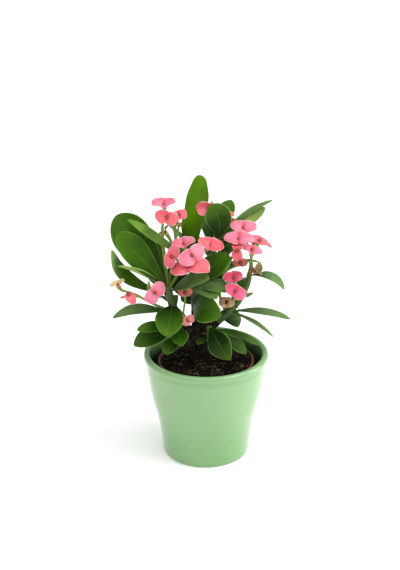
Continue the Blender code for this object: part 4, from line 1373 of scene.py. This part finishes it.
def blade_row(base, tip, face, half, arch, side, fold, outline, tint, phase):
    """The attributes of one blade, with its size in metres."""
    length = (tip - base).length
    axis = (tip - base) / length
    facing = (face - axis * face.dot(axis)).normalized()
    middle = base.lerp(tip, 0.5) + (facing * arch + axis.cross(facing) * side) * (2 * length)
    return {
        "base": base,
        "middle": middle,
        "tip": tip,
        "facing": facing,
        "half": half,
        "fold": fold,
        "tint": tint,
        "power": math.log(0.5) / math.log(outline.widest),
        "phase": phase,
        **{name: getattr(outline, name) for name in ("blunt", "root", "wave", "waves", "lean")},
    }


def keep_blades(name, rows, slot, *nodes, **values):
    """Runs the machine on the rows, removes the attributes that only it needed, and keeps the piece."""
    piece = run_machine(points_object(name, rows), BLADES, **values)
    layers = piece.data.attributes
    for label in [layer.name for layer in layers if not layer.is_required and not layer.is_internal]:
        if label not in BLADE_PAINT and layers[label].domain == "POINT":
            layers.remove(layers[label])
    keep(piece, slot, *nodes)


chance = random.Random(5)
leaf_sizes = {"Around": LEAF_AROUND, "Rows": LEAF_ROWS, "Thickness": LEAF_THICKNESS, "Rib": LEAF_RIB_DEPTH}
for name, leaves in LEAVES.items():
    line = solid_shoot_line(name)
    rows = []
    for leaf in leaves:
        base, tip, half = along(line, leaf.at)[0], Vector(leaf.tip) * MM, leaf.width * MM / 2
        tint = Vector(LEAF_GREENS_AND_LIGHT[leaf.look]) * chance.uniform(1 - TINT_PLAY, 1 + TINT_PLAY)
        form = (half, leaf.arch, leaf.side, leaf.fold, leaf.outline)
        rows.append(blade_row(base, tip, Vector(leaf.face), *form, tint, chance.uniform(0, 6.3)))
    names = (f"shoot_{name}_leaves", rows, "leaf_green", f"leafy_shoot_{name}")
    keep_blades(*names, **leaf_sizes, Finish=leaf_green)

# %% [markdown]
# What looks like a petal on this plant is a bract, a coloured leaf. Two of them stand opposite each other
# under each tiny flower. They are blades as well, short and round, so the same machine makes them, thinner
# and with a fainter rib. Their pink darkens near the middle with painted shade, drifts between coral and
# rose, has a faint fan of veins, and ends in a thin, broken, pale line round the edge. Old ones fade to green
# or dry to beige, and there the pink layers are weak.

# %% Bract finish
BRACT_LOOKS = {
    "pink": colour(234, 112, 132),
    "rose": colour(236, 138, 162),
    "coral": colour(232, 104, 112),
    "magenta": colour(218, 84, 122),
    "faded": colour(112, 112, 62),
    "dry": colour(226, 196, 146),
    "dull": colour(210, 128, 112),
}
BRACT_CORAL = colour(234, 86, 98)
BRACT_ROSE = colour(246, 172, 196)
BRACT_HEART_SHADE = colour(206, 44, 56)
BRACT_VEIN = colour(214, 66, 98)
BRACT_EDGE = colour(252, 216, 206)
BRACT_UNDERSIDE = colour(236, 150, 146)

bract_pink, tree, shader = new_finish("pink_bract", Roughness=0.5, Specular_IOR_Level=0.25)
place, tint = object_place(tree), painted_colour(tree, "tint")
u, v, side = (painted_number(tree, name) for name in ("u", "v", "side"))
red, green_share = (node(tree, "ShaderNodeSeparateColor", tint, output=share) for share in (0, 1))
fresh = ramp(red - green_share, 0.1, 0.5, 0.15, 1.0)
fan = maths("SINE", v * 22 + noise_at(place, 120.0) * 5) * 0.5 + 0.5
rim = maths("MAXIMUM", effect(tree, MARGIN, Across=v, Start=0.86), ramp(u, 0.92, 0.99))
tone = layered(
    tint,
    (clouds(tree, 90.0, 0.42, 0.62) * fresh * 0.4, BRACT_CORAL),
    (clouds(tree, 64.0, 0.5, 0.7) * fresh * 0.3, BRACT_ROSE),
    # painted shade toward the middle of the bract, round the cup
    (fall(u, 0.1, 0.5) * fresh * 0.7, BRACT_HEART_SHADE),
    (fan**4 * 0.12, BRACT_VEIN),
    (rim * ramp(noise_at(place, 160.0), 0.35, 0.65, 0.5, 1.0), BRACT_EDGE),
    (fall(side, -0.3, 0.0) * 0.35, BRACT_UNDERSIDE),
)
paint(shader, tone, fan**4 + noise_at(place, 700.0) * 0.4, 0.0002, roughness=0.45 + fan * 0.1)
print("finish:", bract_pink.name)

# %% Bracts
BRACT_ARCH = 0.12
BRACT_WIDTH = 0.58  # a bract's greatest half width over its length
BRACT_OVERLAP = 0.24  # how far a bract's foot reaches under its twin, over its length
BRACT_STEP = 0.25 * MM  # how far one twin lies above the other
BRACT_PLAY = 8  # how far a bract may tip up or down from the bloom's own lift, in degrees
BRACT_PHASE = 1.5  # sets the waves of the two twins apart
BRACT_SIZES = {"Around": 20, "Rows": 20, "Thickness": 0.3 * MM, "Rib": 0.25 * MM}
CLUSTERS = sorted({name[0] for name in BLOOMS})


def bloom_axes(bloom):
    """The bloom's centre, the way it looks and the way its pair of bracts points."""
    centre, face = Vector(bloom.centre) * MM, Vector(bloom.face).normalized()
    long_way = Vector((1, 0, 0))
    long_way = (long_way - face * long_way.dot(face)).normalized()
    long_way.rotate(Matrix.Rotation(math.radians(bloom.spin), 3, face))
    return centre, face, long_way


def bract_rows(bloom):
    """Two round blades that overlap round the cup, the second a little above the first."""
    centre, face, long_way = bloom_axes(bloom)
    half = bloom.span * MM / 2
    rows = []
    for way in (-1, 1):
        lift = math.radians(bloom.lift + chance.uniform(-BRACT_PLAY, BRACT_PLAY))
        out = long_way * (way * math.cos(lift)) + face * math.sin(lift)
        raised = centre + face * (way * BRACT_STEP)
        ends = (raised - out * (half * BRACT_OVERLAP), raised + out * half)
        tint = Vector(BRACT_LOOKS[bloom.look]) * chance.uniform(0.92, 1.08)
        width = half * BRACT_WIDTH * chance.uniform(0.95, 1.05)
        shape = BRACT._replace(blunt=chance.uniform(0.42, 0.62), lean=chance.uniform(-0.25, 0.25))
        fold = chance.uniform(0.05, 0.4)
        rows.append(blade_row(*ends, face, width, BRACT_ARCH, 0.0, fold, shape, tint, way * BRACT_PHASE))
    return rows


for cluster in CLUSTERS:
    names = [name for name in BLOOMS if name[0] == cluster]
    rows = [row for name in names for row in bract_rows(BLOOMS[name])]
    nodes = [f"bloom_{name}" for name in names]
    keep_blades(f"bracts_{cluster}", rows, "bract_pink", *nodes, **BRACT_SIZES, Finish=bract_pink)

# %% [markdown]
# The true flower is the small cup between the bracts: a red-brown cup on a yellow-green neck, with five
# orange glands round its mouth, a tuft of dark red stamens and three small styles. One machine builds the
# cup from primitives and sets a copy on each bloom, turned by the bloom's own axes. Sizes inside the tree
# are millimetres, and each cup is scaled to metres where it stands.

# %% A machine that sets flower cups
# Cones: sides, rows, rings in the caps, radii at the top and the foot, and depth
CUP_CONE = (14, 4, 2, 2.2, 2.5, 2.4)
NECK_CONE = (12, 3, 1, 2.7, 1.0, 4.2)
# Rings of beads: how many, the ring's radius, a bead's size, the ring's height, and the finish
CUP_BEADS = (
    (5, 2.0, (0.75, 1.05, 0.5), 1.5, "Glands"),
    (7, 0.75, (0.7, 0.7, 0.55), 1.45, "Stamens"),
    (3, 0.5, (0.25, 0.25, 0.6), 2.0, "Glands"),
)


def facing(tree, upward, across):
    """A rotation from the way that Z shall look and the way that X shall point."""
    return node(tree, "FunctionNodeAxesToRotation", upward, across, primary_axis="Z", secondary_axis="X")


def shifted(geometry, *shift_and_turn):
    return node(geometry.tree, "GeometryNodeTransform", geometry, None, *shift_and_turn)


def cups_machine():
    finishes = dict.fromkeys(("Cup", "Glands", "Stamens", "Neck"), "Material")
    tree, put = new_machine("cups_on_points", Points="Geometry", **finishes)
    cup = shifted(node(tree, "GeometryNodeMeshCone", *CUP_CONE), (0, 0, -1.0))
    neck = shifted(node(tree, "GeometryNodeMeshCone", *NECK_CONE), (0, 0, -0.7), (math.pi, 0, 0))
    join = tree.nodes.new("GeometryNodeJoinGeometry")
    pieces = [painted(cup, put["Cup"]), painted(neck, put["Neck"])]
    for count, ring, size, height, finish in CUP_BEADS:
        circle = shifted(node(tree, "GeometryNodeMeshCircle", count, ring), (0, 0, height))
        bead = node(tree, "GeometryNodeMeshIcoSphere", 1.0, 2)
        turn = facing(tree, (0, 0, 1), position(tree))
        pieces.append(painted(copies(circle, bead, turn, size), put[finish]))
    for piece in pieces:
        tree.links.new(piece.socket, join.inputs[0])
    turn = facing(tree, vector(tree, "face"), vector(tree, "long_way"))
    return close_machine(tree, copies(put["Points"], Field(join.outputs[0]), turn, (MM, MM, MM)))


CUPS = cups_machine()
print("machine:", CUPS.name)


# %% Flower cups
def shiny_finish(name, dark, light, roughness):
    made, tree, shader = new_finish(name, Roughness=roughness)
    tone = layered(colour(*dark), (clouds(tree, 500.0), colour(*light)))
    paint(shader, tone, noise_at(object_place(tree), 900.0), 0.0002)
    return made


CUP_FINISHES = {
    "Cup": shiny_finish("flower_cup", (110, 34, 18), (160, 72, 36), 0.5),
    "Glands": shiny_finish("flower_gland", (206, 84, 40), (246, 160, 84), 0.4),
    "Neck": shiny_finish("flower_neck", (96, 124, 40), (158, 176, 84), 0.5),
    "Stamens": shiny_finish("flower_stamen", (80, 8, 4), (130, 30, 14), 0.5),
}
for cluster in CLUSTERS:
    axes = [bloom_axes(bloom) for name, bloom in BLOOMS.items() if name[0] == cluster]
    rows = [{"place": centre, "face": face, "long_way": long_way} for centre, face, long_way in axes]
    cups = points_object(f"flower_cups_{cluster}", rows)
    keep(run_machine(cups, CUPS, **CUP_FINISHES), "bract_pink")
